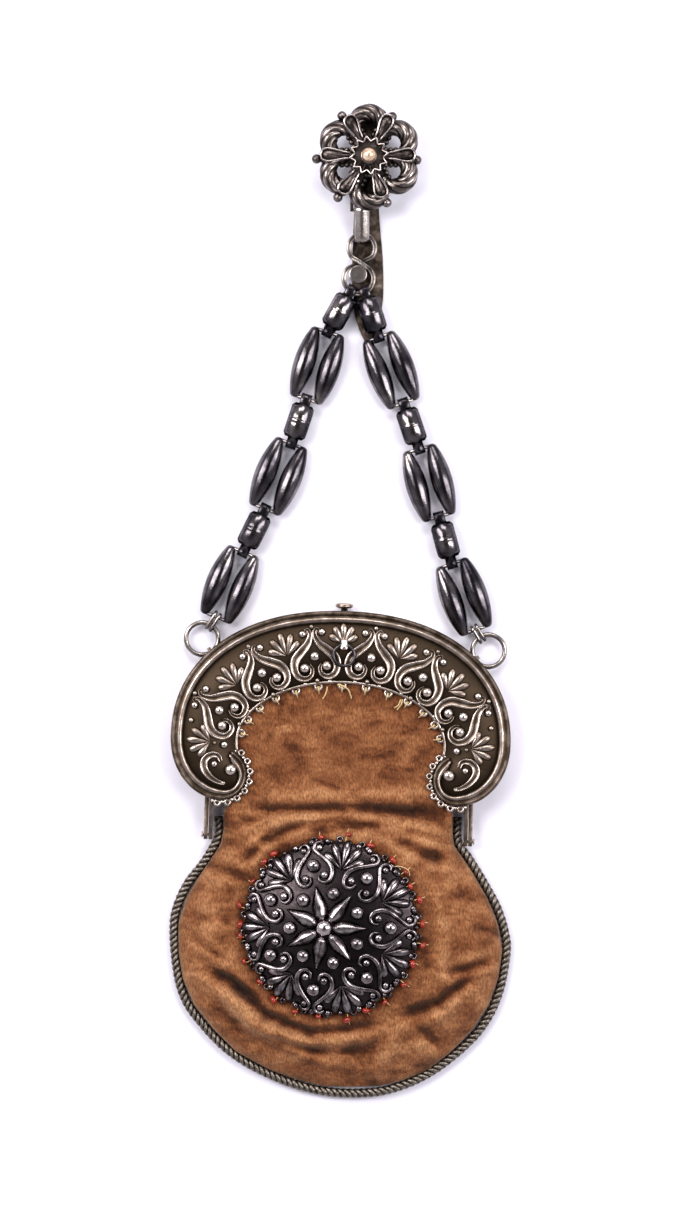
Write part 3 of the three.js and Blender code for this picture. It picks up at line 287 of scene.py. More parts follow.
def next_ring(bm, ring, edges):
    """Extrudes a ring of points; each new point has the same number as the one beside it."""
    grown = bmesh.ops.extrude_edge_only(bm, edges=edges)["geom"]
    fresh = {item for item in grown if isinstance(item, bmesh.types.BMVert)}
    ring = [next(e.other_vert(v) for e in v.link_edges if e.other_vert(v) in fresh) for v in ring]
    edges = [item for item in grown if isinstance(item, bmesh.types.BMEdge)
             and item.verts[0] in fresh and item.verts[1] in fresh]
    return ring, edges


def finish_mesh(bm, name, body, material, replaced=(), place=Matrix()):
    """Turns a bmesh in mm into a piece that rides on a body and stands for CAD nodes."""
    bmesh.ops.transform(bm, matrix=Matrix.Scale(MM, 4) @ Matrix.Translation(PURSE_MIDDLE) @ place,
                        verts=bm.verts)
    mesh = bpy.data.meshes.new(name)
    bm.to_mesh(mesh)
    bm.free()
    mesh.shade_smooth()
    mesh.materials.append(material)
    piece = bpy.data.objects.new(name, mesh)
    bpy.context.collection.objects.link(piece)
    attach(piece, body)
    if replaced:
        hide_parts(*replaced)
    return piece


velvet, tree, shader, add = new_material("silk_velvet")
cloth_place = add("ShaderNodeTexCoord").outputs["Object"]


def brushed_noise(lean, stretch, **settings):
    """Noise drawn out along the way that the pile was brushed."""
    laid = add("ShaderNodeMapping", [("Vector", cloth_place)], Scale=stretch,
               Rotation=(0.0, 0.0, lean))
    return add("ShaderNodeTexNoise", [("Vector", laid.outputs["Vector"])], Scale=1.0,
               **settings).outputs["Fac"]


worn_patches = brushed_noise(0.25, (88.0, 150.0, 90.0), Detail=8.0, Roughness=0.62, Distortion=0.5)
pile_strokes = brushed_noise(0.3, (2100.0, 760.0, 900.0), Detail=3.0, Roughness=0.6)
# the vertex attribute read here is painted shade and light: it darkens creases, the ring round the
# medallion, the mouth and down-turning slopes, and lightens swells
painted_shade_amount = add("ShaderNodeAttribute", attribute_name="painted_shade").outputs["Fac"]
patches_less_painted_shade = add("ShaderNodeMath", [(0, worn_patches), (1, painted_shade_amount)],
                       operation="SUBTRACT").outputs["Value"]
patch_and_shade_colour = colour_ramp(add, patches_less_painted_shade, [
    (0.0, (0.014, 0.004, 0.002)), (0.28, (0.070, 0.020, 0.006)), (0.41, (0.165, 0.056, 0.020)),
    (0.54, (0.248, 0.098, 0.038)), (0.8, (0.42, 0.205, 0.092))])
stroke_shade = colour_ramp(add, pile_strokes,
                           [(0.34, (0.42, 0.36, 0.33)), (0.64, (1.22, 1.22, 1.2))])
velvet_colour = add("ShaderNodeMix", data_type="RGBA", blend_type="MULTIPLY")
set_sockets(velvet_colour, {"Factor": 0.85})
tree.links.new(patch_and_shade_colour, velvet_colour.inputs["A"])
tree.links.new(stroke_shade, velvet_colour.inputs["B"])
tree.links.new(velvet_colour.outputs["Result"], shader.inputs["Base Color"])
pile_bump = add("ShaderNodeBump", [("Height", pile_strokes)], Strength=0.6, Distance=0.0006)
tree.links.new(pile_bump.outputs["Normal"], shader.inputs["Normal"])
set_sockets(shader, {"Roughness": 0.95, "Specular IOR Level": 0.15, "Sheen Weight": 0.35,
                     "Sheen Roughness": 0.45, "Sheen Tint": (0.95, 0.72, 0.5, 1.0)})

bm = bmesh.new()
# holds the painted shade and light of each point of the cloth
painted_shade_layer = bm.verts.layers.float.new("painted_shade")
ring = bmesh.ops.create_circle(bm, segments=BAG_COLUMNS + BACK_COLUMNS, radius=1.0)["verts"]
edges = list(bm.edges)


def set_bag_ring(ring, y, ring_above=None, y_above=0.0):
    """Lays a ring of points round the bag at a height y: the front left to right, then the back."""
    left, right, front, back = bag_row(y)
    fullness = 0.5 * (1 - smoothstep(y, -84, -76))
    middle, half = (left + right) / 2, (right - left) / 2 + fullness
    for i, vert in enumerate(ring):
        if i <= BAG_COLUMNS:
            s = 2 * i / BAG_COLUMNS - 1
            x = middle + s * half
            z, depth = front_of_bag(x, y, s, front)
            vert.co = (x, y, z)
            shade = painted_pile_shade(x, y, depth)
            if ring_above:             # painted shade and light: darker where the cloth turns down towards the foot, lighter where it turns up
                slope = (ring_above[i].co.z - z) / (y_above - y)
                shade += 0.16 * min(max(slope, -0.9), 0.9) * min(4 * (1 - abs(s)), 1.0)
            vert[painted_shade_layer] = shade
        else:
            s = 1 - 2 * (i - BAG_COLUMNS) / BACK_COLUMNS
            x = middle + s * half
            curl = BACK_CURL * abs(s) ** 12 * (1 - smoothstep(y, *FREE_BELOW))
            rumple = BACK_RUMPLE * noise.noise(Vector((x * 0.1, y * 0.1, 20.0))) ** 2
            vert.co = (x, y, back + curl + rumple)
            vert[painted_shade_layer] = 0.0


top_y, foot_y = BAG_ROWS[0][0], BAG_ROWS[-1][0]
y = top_y
set_bag_ring(ring, y)
for step in range(1, BAG_LENGTHS + 1):
    ring_above, y_above = ring, y
    t = step / BAG_LENGTHS
    y = top_y + (foot_y - top_y) * (t - CROWDING * math.sin(2 * math.pi * t))
    ring, edges = next_ring(bm, ring, edges)
    set_bag_ring(ring, y, ring_above, y_above)
bmesh.ops.contextual_create(bm, geom=edges)
open_sides = [face for face in bm.faces if len(face.verts) == 4
              and face.calc_center_median().y > SIDES_OPEN_ABOVE
              and max(v.co.z for v in face.verts) - min(v.co.z for v in face.verts) > 4.0
              and abs(face.normal.x) > 0.7]
bmesh.ops.delete(bm, geom=open_sides, context="FACES_ONLY")
bmesh.ops.recalc_face_normals(bm, faces=bm.faces)
bag = finish_mesh(bm, "velvet_cloth", "purse", velvet, ["velvet_bag"])
wall = bag.modifiers.new("cloth", "SOLIDIFY")
wall.thickness = CLOTH * MM
wall.offset = -1.0

# ---- frame's front half --------------------------------------------------------------------------
# Half of a snap frame, cast in silver: a C-shaped tray with a moulded rim that rolls up inside each
# lower end.  Lyres, shells and balls stand on a blackened ground, and a row of eyelets holds the
# stitches of the bag.
FRAME_TURN = -1.6                             # degrees; it lies a little askew
FRAME_PLACE = (Matrix.Translation((0.3, -39.7, 0.0))
               @ Matrix.Rotation(math.radians(FRAME_TURN), 4, "Z"))
UP = Vector((0, 0, 1))
SHOULDERS = (56.6, 43.4)                      # the arch over the shoulders, across and up
SHOULDER_Y = -7.0
SHOULDER_POWER = 2 / 2.2                      # a little squarer than an ellipse
LOWER_END = (17.1, 20.5)                      # the round under each shoulder, across and down
VOLUTE = (39.5, -19.0)
VOLUTE_RADIUS = 8.5
PLATE_CURL = -232                             # the angle at which the plate's curl ends
RIM_CURL = -246
MOUTH_Y = -8.0
MOUTH_ARCH = (34.7, 20.7)                     # the edge that the bag is sewn to, across and up
PLATE_TOP = 10.2
PLATE_FOOT = 9.0
WALL_TOP = 9.6
WALL_FOOT = 5.3
WALL = 1.2
HINGE = (-39.5, 5.0)                          # y and z of the hinge pins
EYE_RADIUS = 1.6
ARM_TOP = -24.0
ARM_WIDTH = 1.3
FRONT_ARM = 42.6                              # from the middle to each arm
RELIEF = 1.2
BALL_LIFT = 0.15
SHELL_LIFT = 0.2
RIM = [
    # inwards from the edge, height: a thin outer bead, a groove and a broad inner moulding
    (0.0, 9.1), (0.0, 10.45), (0.3, 11.15), (0.85, 11.45), (1.35, 11.1), (1.65, 10.6),
    (1.95, 10.75), (2.4, 11.3), (3.05, 11.5), (3.7, 11.1), (4.1, 10.3), (4.15, 9.4),
]
RIM_BEAD = 6                                  # the first points of RIM are the outer bead
RIBBON = [
    # a grooved scroll: two rubbed edges with a hollow between
    (-0.5, -0.2), (-0.5, 0.4), (-0.42, 0.85), (-0.32, 0.97), (-0.2, 0.62), (0, 0.38),
    (0.2, 0.62), (0.32, 0.97), (0.42, 0.85), (0.5, 0.4), (0.5, -0.2),
]
LYRE_ARM = [
    # across, along, width: from the top curl down and round the lower ball
    (2.5, 11.0, 0.8), (1.9, 12.7, 0.9), (1.0, 12.2, 1.1), (0.8, 10.6, 1.4), (1.9, 8.0, 2.1),
    (4.2, 5.6, 2.6), (6.5, 3.1, 2.6), (7.2, 0.2, 2.2), (6.2, -2.5, 1.9), (3.8, -3.5, 1.6),
    (1.8, -2.5, 1.3), (1.3, -0.5, 1.1), (2.1, 1.0, 0.8),
]
ARM_BALLS = [(3.3, 11.5, 1.3), (3.7, 0.1, 1.7)]                      # across, along, radius
LYRE_BALLS = [(0, 3.7, 1.75), (0, 13.6, 0.9), (0, -4.4, 0.9)]        # across, along, radius
LYRES = [(8.9, 17.4, -8), (25, 11.8, -29), (37.5, 0.2, -57)]         # x, y, degrees
SHELLS = [(20.1, 24.7, -20), (37.8, 13.7, -43), (47.4, -8, -85)]     # x, y, degrees
COMMA = [
    # x, y, width
    (38.3, -22.0, 0.7), (40.4, -21.6, 1.2), (43.2, -19.9, 1.7), (45.2, -17.2, 2.1),
    (45.0, -14.4, 2.0), (43.0, -12.7, 1.7), (40.6, -12.9, 1.4), (39.6, -14.8, 1.0),
]
LOOSE_BALLS = [
    # x, y, radius
    (10.7, 30.6, 0.7), (31.4, 23.2, 0.7), (48.4, 6, 0.7), (50, -1.3, 1.0), (38.65, -9.2, 1.3),
    (41.9, -8.7, 0.8), (41.8, -15.7, 1.2), (38.7, -22.0, 0.9), (36.3, -17.5, 2.1),
]
MOUTH_EYELETS = 13
EYELET_ARCH = (33.5, 19.5)                    # the row of eyelets over the mouth, across and up
BEAD_ARCH = (35.1, 21.0)                      # the row of small balls outside it
VOLUTE_EYELETS = 9


def moved(x, y, z=0.0):
    return Matrix.Translation((x, y, z))


def rotated(degrees, axis="Z"):
    return Matrix.Rotation(math.radians(degrees), 4, axis)


def turned(x, y, degrees):
    """A point turned about the middle."""
    a = math.radians(degrees)
    return x * math.cos(a) - y * math.sin(a), x * math.sin(a) + y * math.cos(a)


def arc(x, y, rx, ry, start, end, steps, z=0.0):
    """Points on an ellipse, angles in degrees."""
    angles = [math.radians(start + (end - start) * i / steps) for i in range(steps + 1)]
    return [Vector((x + rx * math.cos(a), y + ry * math.sin(a), z)) for a in angles]


def spline(points, steps):
    """Points on a smooth curve through the given ones, whatever numbers each one holds."""
    path = []
    last = len(points) - 1
    for i in range(last):
        a, b, c, d = (points[min(max(i + k, 0), last)] for k in (-1, 0, 1, 2))
        for step in range(steps):
            t = step / steps
            path.append(tuple(
                q + 0.5 * t * (r - p + t * (2 * p - 5 * q + 4 * r - s + t * (3 * (q - r) + s - p)))
                for p, q, r, s in zip(a, b, c, d)))
    path.append(tuple(points[-1]))
    return path


def frame_edge(curl_end=None, inset=0.0):
    """The right half of the frame's outer edge, from the middle of the top into the volute."""
    over = []
    for i in range(41):
        a = math.radians(90 - 90 * i / 40)
        across = 0.0 if i == 0 else (SHOULDERS[0] - inset) * math.cos(a) ** SHOULDER_POWER
        rise = 0.0 if i == 40 else (SHOULDERS[1] - inset) * math.sin(a) ** SHOULDER_POWER
        over.append(Vector((across, rise + SHOULDER_Y, 0)))
    under = arc(VOLUTE[0], SHOULDER_Y, LOWER_END[0] - inset, LOWER_END[1] - inset, 0, -90, 18)[1:]
    if curl_end is None:
        return over + under
    radius = VOLUTE_RADIUS - inset
    return over + under + arc(*VOLUTE, radius, radius, -90, curl_end, 26)[1:]


def both_sides(half):
    """The whole path from the left end over the top to the right end."""
    return [Vector((-p.x, p.y, p.z)) for p in reversed(half)] + half[1:]


def raised(path, z):
    return [Vector((p.x, p.y, z)) for p in path]


def round_section(radius, sides=8):
    return [(radius * math.cos(2 * math.pi * k / sides), radius * math.sin(2 * math.pi * k / sides))
            for k in range(sides)]


def swept(section, path, widths=None, heights=None, up=UP, closed=False, turns=0.0):
    """A closed section of (across, up) points drawn along a path, scaled and twisted on the way."""
    bm = bmesh.new()
    count = len(path)
    widths = widths or [1.0] * count
    heights = heights or [1.0] * count
    for i, point in enumerate(path):
        before = path[i - 1] if i or closed else point
        after = path[(i + 1) % count] if i < count - 1 or closed else point
        forward = (after - before).normalized()
        across = up.cross(forward).normalized()
        upward = forward.cross(across)
        spots = []
        for a, h in section:
            a, h = turned(a, h, 360 * turns * i / count)
            spots.append(point + across * a * widths[i] + upward * h * heights[i])
        if i == 0:
            ring = [bm.verts.new(spot) for spot in spots]
            edges = [bm.edges.new((ring[k - 1], ring[k])) for k in range(len(ring))]
            start = edges
            continue
        ring, edges = next_ring(bm, ring, edges)
        for vert, spot in zip(ring, spots):
            vert.co = spot
    if closed:
        bmesh.ops.bridge_loops(bm, edges=start + edges)
    else:
        bmesh.ops.contextual_create(bm, geom=start)
        bmesh.ops.contextual_create(bm, geom=edges)
    return bm


def ball(x, y, z, radius, flatness=0.85, segments=14):
    """A cast ball, sunk to its middle."""
    bm = bmesh.new()
    bmesh.ops.create_uvsphere(
        bm, u_segments=segments, v_segments=segments // 2 + 1, radius=radius,
        matrix=moved(x, y, z) @ Matrix.Diagonal((1, 1, flatness, 1)))
    return bm


def wire_ring(radius, wire, steps, sides, flatness=1.0):
    """A ring of round wire about the z axis."""
    bm = bmesh.new()
    bmesh.ops.create_circle(bm, segments=sides, radius=wire,
                            matrix=moved(radius, 0) @ rotated(90, "X"))
    bmesh.ops.spin(bm, geom=bm.verts[:] + bm.edges[:], cent=(0, 0, 0), axis=(0, 0, 1),
                   angle=2 * math.pi, steps=steps, use_merge=True)
    bmesh.ops.scale(bm, vec=(1, 1, flatness), verts=bm.verts)
    return bm


def slab(outline, push, bevel=0.0):
    """A flat piece sawn to an outline and pushed out to its thickness, with softened edges."""
    bm = bmesh.new()
    face = bm.faces.new([bm.verts.new(spot) for spot in outline])
    grown = bmesh.ops.extrude_face_region(bm, geom=[face])["geom"]
    fresh = [item for item in grown if isinstance(item, bmesh.types.BMVert)]
    bmesh.ops.translate(bm, vec=Vector(push), verts=fresh)
    if bevel:
        bmesh.ops.bevel(bm, geom=bm.edges[:], offset=bevel, segments=2, affect="EDGES",
                        profile=0.5, material=-1, clamp_overlap=True)
    return bm


def shell(reach, rib_width, rise):
    """A fan of five ribs that spring from one root and spread along y."""
    bm = bmesh.new()
    for lean in (-1.0, -0.5, 0.0, 0.5, 1.0):
        length = reach * (1.0 - 0.2 * lean * lean)
        spread = moved(0, -reach / 2) @ Matrix.Rotation(-lean, 4, "Z")
        verts = bmesh.ops.create_uvsphere(bm, u_segments=8, v_segments=9, radius=1.0)["verts"]
        for vert in verts:
            taper = 0.55 + 0.45 * vert.co.z
            vert.co = spread @ Vector((vert.co.x * rib_width * taper, (vert.co.z + 1) * length / 2,
                                       vert.co.y * rise * (0.5 + 0.5 * taper)))
    return bm


def hinge_arm(x, high, low):
    """A bar that runs down from a half's lower end to a round eye at the hinge pin."""
    side = x - ARM_WIDTH / 2
    eye = [Vector((side, p.x, p.y)) for p in arc(*HINGE, EYE_RADIUS, EYE_RADIUS, 90, 270, 14)]
    return slab(eye + [Vector((side, ARM_TOP, low)), Vector((side, ARM_TOP, high))],
                (ARM_WIDTH, 0, 0), 0.15)


def new_piece():
    bm = bmesh.new()
    bm.verts.layers.float.new("rubbed")
    return bm


def above(foot, full, most=1.0):
    """Rubbed bright from one height up to another."""
    return lambda co: most * limited((co.z - foot) / (full - foot))


def add_part(bm, part, mark, place=None):
    """Joins a finished part to a piece.  The mark says where it is rubbed: one value for the whole
    part, a rule that works on a place, or a list with a value for each point."""
    layer = part.verts.layers.float.new("rubbed")
    for i, vert in enumerate(part.verts):
        if callable(mark):
            vert[layer] = mark(vert.co)
        else:
            vert[layer] = mark[i] if isinstance(mark, list) else mark
    if place is not None:
        bmesh.ops.transform(part, matrix=place, verts=part.verts)
    bmesh.ops.triangulate(part, faces=[face for face in part.faces if len(face.verts) > 4])
    bmesh.ops.recalc_face_normals(part, faces=part.faces)
    mesh = bpy.data.meshes.new("part")
    part.to_mesh(mesh)
    part.free()
    bm.from_mesh(mesh)
    bpy.data.meshes.remove(mesh)


def silver_material(name, dark, middle, light, roughness, spread, scale):
    """Silver that is rubbed bright where it stands proud and black where it doesn't."""
    material, tree, shader, add = new_material(name)
    rubbed = add("ShaderNodeAttribute", attribute_name="rubbed").outputs["Fac"]
    tarnish = grain(add, Scale=scale, Detail=5.0, Roughness=0.62)
    uneven = add("ShaderNodeMapRange", [("Value", tarnish)]).outputs["Result"]
    set_sockets(uneven.node, {"From Min": 0.32, "From Max": 0.68, "To Min": -spread,
                              "To Max": spread * 0.7})
    bright = add("ShaderNodeMath", [(0, rubbed), (1, uneven)], operation="ADD",
                 use_clamp=True).outputs["Value"]
    shade = colour_ramp(add, bright, [(0.08, dark), (0.5, middle), (0.95, light)])
    tree.links.new(shade, shader.inputs["Base Color"])
    gloss = add("ShaderNodeMapRange", [("Value", bright)]).outputs["Result"]
    set_sockets(gloss.node, {"To Min": roughness[0], "To Max": roughness[1]})
    tree.links.new(gloss, shader.inputs["Roughness"])
    scratches = grain(add, Scale=1300.0, Detail=4.0)
    bump = add("ShaderNodeBump", [("Height", scratches)], Strength=0.15, Distance=0.0002)
    tree.links.new(bump.outputs["Normal"], shader.inputs["Normal"])
    set_sockets(shader, {"Metallic": 1.0})
    return material


frame_silver = silver_material("frame_silver", (0.046, 0.031, 0.020), (0.25, 0.192, 0.152),
                               (0.72, 0.62, 0.55), (0.5, 0.2), 0.26, 260.0)
on_ground = above(PLATE_TOP + 0.45, PLATE_TOP + 1.1)
on_shell = above(0.1, 0.75, 0.85)


def add_scroll(bm, points, widen):
    """A grooved scroll on the plate, through points of x, y, width."""
    path = [Vector((x, y, PLATE_TOP)) for x, y, width in points]
    heights = [RELIEF * min(1.0, 0.35 + width / 2.4) for x, y, width in points]
    add_part(bm, swept(RIBBON, path, [widen * width for x, y, width in points], heights), on_ground)


def add_ball(bm, x, y, radius):
    add_part(bm, ball(x, y, PLATE_TOP + BALL_LIFT, radius), on_ground)


def add_lyre(bm, lyre_x, lyre_y, lean, side):
    """Two scrolled arms with their balls, square to the frame's edge."""
    def spot(x, y):
        u, v = turned(x, y, lean)
        return (u + lyre_x) * side, v + lyre_y

    for half in (1, -1):
        add_scroll(bm, [(*spot(x * half, y), width) for x, y, width in spline(LYRE_ARM, 5)], 1.3)
        for x, y, radius in ARM_BALLS:
            add_ball(bm, *spot(x * half, y), radius)
    for x, y, radius in LYRE_BALLS:
        add_ball(bm, *spot(x, y), radius)


bm = new_piece()
edge = both_sides(frame_edge(PLATE_CURL))
sewing_edge = both_sides(arc(0, MOUTH_Y, *MOUTH_ARCH, 90, -9, 40))
add_part(bm, slab(raised(edge, PLATE_FOOT) + raised(sewing_edge[::-1], PLATE_FOOT),
                  (0, 0, PLATE_TOP - PLATE_FOOT)), -0.1)
rim_path = both_sides(frame_edge(RIM_CURL))
widths = []
for i in range(len(rim_path)):
    t = abs(2 * i / (len(rim_path) - 1) - 1)          # from 0 at the top to 1 at the ends
    widths.append(1.0 - 0.36 * smoothstep(t, 0.62, 0.8) + 0.2 * smoothstep(t, 0.84, 0.95)
                  - 0.3 * smoothstep(t, 0.97, 1.0))
rim = swept([(-offset, height) for offset, height in RIM], rim_path, widths)
bead, moulding = above(10.3, 11.5, 0.3), above(10.3, 11.5, 0.7)
add_part(bm, rim, [(bead if i % len(RIM) < RIM_BEAD else moulding)(vert.co)
                   for i, vert in enumerate(rim.verts)])
add_part(bm, swept([(0, WALL_FOOT), (0, WALL_TOP), (-WALL, WALL_TOP), (-WALL, WALL_FOOT)],
                   both_sides(frame_edge())), 0.45)
for side in (1, -1):
    for lyre in LYRES:
        add_lyre(bm, *lyre, side)
    for x, y, lean in SHELLS:
        add_part(bm, shell(8.2, 1.9, 0.95), on_shell,
                 moved(x * side, y, PLATE_TOP + SHELL_LIFT) @ rotated(lean * side))
    comma = [(x * side, y, width) for x, y, width in spline(COMMA, 5)]
    add_part(bm, swept(RIBBON, [Vector((x, y, PLATE_TOP)) for x, y, width in comma],
                       [1.35 * width for x, y, width in comma], [RELIEF] * len(comma)), on_ground)
    for x, y, radius in LOOSE_BALLS:
        add_ball(bm, x * side, y, radius)
add_part(bm, shell(7.2, 1.9, 0.95), on_shell, moved(0, 28.9, PLATE_TOP + SHELL_LIFT))

# eyelets along the sewing edge and round both volutes, with a small ball between each two
add_part(bm, swept(round_section(0.55, 10), raised(sewing_edge, PLATE_TOP - 0.25)),
         above(PLATE_TOP - 0.2, PLATE_TOP + 0.3, 0.8))
eyelet_places = [(p.x, p.y, 1.1) for p in
                 arc(0, MOUTH_Y, *EYELET_ARCH, 8, 172, MOUTH_EYELETS - 1)]
half_step = 82 / (MOUTH_EYELETS - 1)
for p in arc(0, MOUTH_Y, *BEAD_ARCH, 8 + half_step, 172 - half_step, MOUTH_EYELETS - 2):
    add_part(bm, ball(p.x, p.y, PLATE_TOP - 0.3, 0.8, segments=10),
             above(PLATE_FOOT + 0.5, PLATE_TOP + 0.2, 0.85))
for side in (1, -1):
    for p in arc(*VOLUTE, 9.7, 9.7, 112, 276, VOLUTE_EYELETS - 1):
        eyelet_places.append((side * p.x, p.y, 0.85))
    for p in arc(*VOLUTE, 9.2, 9.2, 122, 286, VOLUTE_EYELETS - 1):
        add_part(bm, ball(side * p.x, p.y, PLATE_TOP - 0.4, 0.65, segments=10),
                 above(PLATE_FOOT + 0.5, PLATE_TOP))
for x, y, radius in eyelet_places:
    add_part(bm, wire_ring(radius, 0.46, 18, 8), above(-0.2, 0.4, 0.85),
             moved(x, y, PLATE_FOOT + 0.7))

# hinge arms, and the staple that the ring pull hangs in
for side in (1, -1):
    add_part(bm, hinge_arm(side * FRONT_ARM, 10.0, WALL_FOOT + 0.4), 0.42)
STAPLE_X = 0.3
staple = [Vector((STAPLE_X, y, z)) for y, z in spline(
    [(23.7, 10.3), (23.65, 12.6), (24.0, 13.45), (26.5, 12.5), (26.95, 11.9), (27.0, 10.3)], 5)]
add_part(bm, swept([(-0.3, -1.05), (-0.3, 1.05), (0.1, 1.05), (0.16, 0.95), (0.16, -0.95),
                    (0.1, -1.05)], staple, up=Vector((1, 0, 0))), 1.3)
add_part(bm, slab([Vector((STAPLE_X + x, 25.05 + y, PLATE_TOP - 0.3)) for x, y in
                   ((-1.05, -0.85), (1.05, -0.85), (1.05, 0.85), (-1.05, 0.85))],
                  (0, 0, 1.5), 0.15), 0.8)
finish_mesh(bm, "frame_front_cast", "purse", frame_silver, ["frame_front"], FRAME_PLACE)

# ---- frame's back half, hinge pins and push button -----------------------------------------------
# The plain tray that the front half snaps on to, with two small eyes for the chain's rings.
# Two riveted pins hinge the halves, and a push button at the top lets the clasp go.
BACK_INSET = 1.8                              # the back half lies inside the front half's rim
BACK_PLATE = 1.2
BACK_WALL = (0.9, 5.0)
BACK_ARM = 44.2
LUG = (44.155, 21.396, 2.6)                   # the eye that a chain ring runs in, on each side
RING_SWING = {"left": (-1, 125.2), "right": (1, 34.0)}    # side, and the way that the ring hangs


def lathe(profile, steps=32):
    """A profile of (radius, height) spun about the z axis."""
    bm = bmesh.new()
    chain = [bm.verts.new((r, 0, h)) for r, h in profile]
    edges = [bm.edges.new(pair) for pair in zip(chain, chain[1:])]
    bmesh.ops.spin(bm, geom=chain + edges, cent=(0, 0, 0), axis=(0, 0, 1), angle=2 * math.pi,
                   steps=steps, use_merge=True)
    bmesh.ops.remove_doubles(bm, verts=bm.verts[:], dist=0.0001)
    return bm


bm = new_piece()
back_edge = both_sides(frame_edge(PLATE_CURL, BACK_INSET))
add_part(bm, slab(raised(back_edge, 0) + raised(sewing_edge[::-1], 0), (0, 0, BACK_PLATE)), 0.35)
foot, top = BACK_WALL
add_part(bm, swept([(0, foot), (0, top), (-WALL, top), (-WALL, foot)],
                   both_sides(frame_edge(None, BACK_INSET))), 0.45)
for side, swing in RING_SWING.values():
    lug = swept([(-0.3, -0.6), (0.3, -0.6), (0.42, 0), (0.3, 0.6), (-0.3, 0.6)],
                arc(0, 0, 1.45, 1.45, 0, 345, 23), closed=True)
    add_part(bm, lug, 0.6, moved(side * LUG[0], *LUG[1:]) @ rotated(swing) @ rotated(90, "X"))
for side in (1, -1):
    add_part(bm, hinge_arm(side * BACK_ARM, 4.6, 0.3), 0.35)
finish_mesh(bm, "frame_back_cast", "purse", frame_silver, ["frame_back"], FRAME_PLACE)

bm = new_piece()
for side in (1, -1):
    pin = lathe([(0, 41.75), (0.35, 41.75), (0.45, 41.85), (0.45, 45.15), (1.0, 45.15), (1.0, 45.4),
                 (0.75, 45.65), (0, 45.75)], 16)
    add_part(bm, pin, 0.8, moved(0, *HINGE) @ rotated(side * 90, "Y"))
finish_mesh(bm, "hinge_rivets", "purse", frame_silver,
            ["hinge_pin_left", "hinge_pin_right"], FRAME_PLACE)

GROOVE = 38.25                                # the groove round the button's head
bm = new_piece()
button = lathe([(0, 32.2), (1.8, 32.2), (1.8, 32.8), (1.2, 32.8), (1.2, 37.2), (2.3, 37.35),
                (2.95, 37.7), (3.15, 38.1), (2.85, GROOVE), (3.12, 38.4), (2.7, 38.85), (1.6, 39.2),
                (0, 39.3)])
add_part(bm, button, lambda co: 0.25 if abs(co.z - GROOVE) < 0.1 else 0.8,
         moved(0, 0, 3.3) @ rotated(-90, "X"))
finish_mesh(bm, "push_button", "clasp_button", frame_silver, ["clasp_button"],
            FRAME_PLACE)

# ---- ring pull and stitches ----------------------------------------------------------------------
# A small blackened ring hangs in the front's staple.  Golden silk thread goes through each eyelet
# and over the plate's edge into the velvet, and a few ends have worked loose.
dark_silver = silver_material("dark_silver", (0.010, 0.008, 0.009), (0.075, 0.064, 0.066),
                              (0.40, 0.36, 0.36), (0.35, 0.16), 0.25, 220.0)
thread_silk = grained_material(
    "thread_silk", [(0.2, (0.42, 0.27, 0.11)), (0.8, (0.72, 0.54, 0.27))], {"Roughness": 0.7},
    kind="ShaderNodeTexWave", Scale=700.0, Distortion=3.0)
STITCH = [
    # from the eyelet towards the mouth, height
    (-0.1, 9.0), (0.0, 9.9), (0.9, 10.4), (1.7, 9.9), (2.3, 8.6),
]
LOOSE_ENDS = [
    # three places along each
    ((-4.9, 11.0), (-5.4, 8.7), (-6.4, 6.9)), ((-0.9, 12.0), (2.0, 10.3), (3.2, 7.3)),
    ((-1.6, 11.8), (0.6, 11.4), (2.4, 10.0)), ((19.6, 7.4), (18.9, 5.6), (17.6, 4.6)),
    ((20.1, 7.5), (19.9, 6.0), (18.4, 3.9)),
]


def thread(points, radius):
    return swept(round_section(radius, 6), [Vector(p) for p in spline(points, 6)])


bm = new_piece()
add_part(bm, wire_ring(3.5, 0.6, 44, 12), above(0.0, 0.6, 0.6), moved(STAPLE_X, 21.6, 12.05))
finish_mesh(bm, "ring_pull", "purse", dark_silver, ["pull_ring"], FRAME_PLACE)

bm = new_piece()
for x, y, radius in eyelet_places[:MOUTH_EYELETS]:
    across, rise = MOUTH_ARCH
    inward = Vector((-x / across ** 2, -(y - MOUTH_Y) / rise ** 2)).normalized()
    beside = Vector((-inward.y, inward.x))
    for offset in (-0.22, 0.22):
        spots = [(Vector((x, y)) + inward * along + beside * offset * (1 - 0.6 * along), z)
                 for along, z in STITCH]
        add_part(bm, thread([(*spot, z) for spot, z in spots], 0.17), 0.0)
for a, b, c in LOOSE_ENDS:
    add_part(bm, thread([(*a, 10.2), (*b, 10.3), (*c, 9.2)], 0.22), 0.0)
finish_mesh(bm, "silk_stitches", "purse", thread_silk, place=FRAME_PLACE)

# ---- edge cord -----------------------------------------------------------------------------------
# A cord of three strands wound with silver thread, sewn round the closed edge of the bag from one
# hinge to the other.
CORD_ROUTE = [
    (-40.8, -72), (-41, -79), (-45.3, -87), (-51.2, -94.8), (-54.8, -102.9), (-55.7, -109.5),
    (-55, -120.7), (-52.8, -131), (-47.7, -139.6), (-36.4, -151.1), (-21.3, -159.4),
    (-6.2, -163.9), (8.7, -164.6), (19.8, -162.4), (31, -157.1), (42.2, -148.2),
    (49, -139.9), (53.4, -129.7), (55.5, -117.7), (55.2, -111.9), (52.6, -103.1),
    (47.4, -93.4), (42.7, -85.8), (39.4, -80.5), (39.3, -72),
]
CORD_RADIUS = 1.6
CORD_HEIGHT = 2.4
CORD_STEP = 0.42
CORD_LAY = 6.0                                # length of one full twist
CORD_SIDES = 18


def even(path, step):
    """The same path with its points a step apart."""
    spots = [path[0].copy()]
    left = step
    for a, b in zip(path, path[1:]):
        length = (b - a).length
        while length > 0 and left <= length:
            spots.append(a.lerp(b, left / length))
            left += step
        left -= length
    return spots


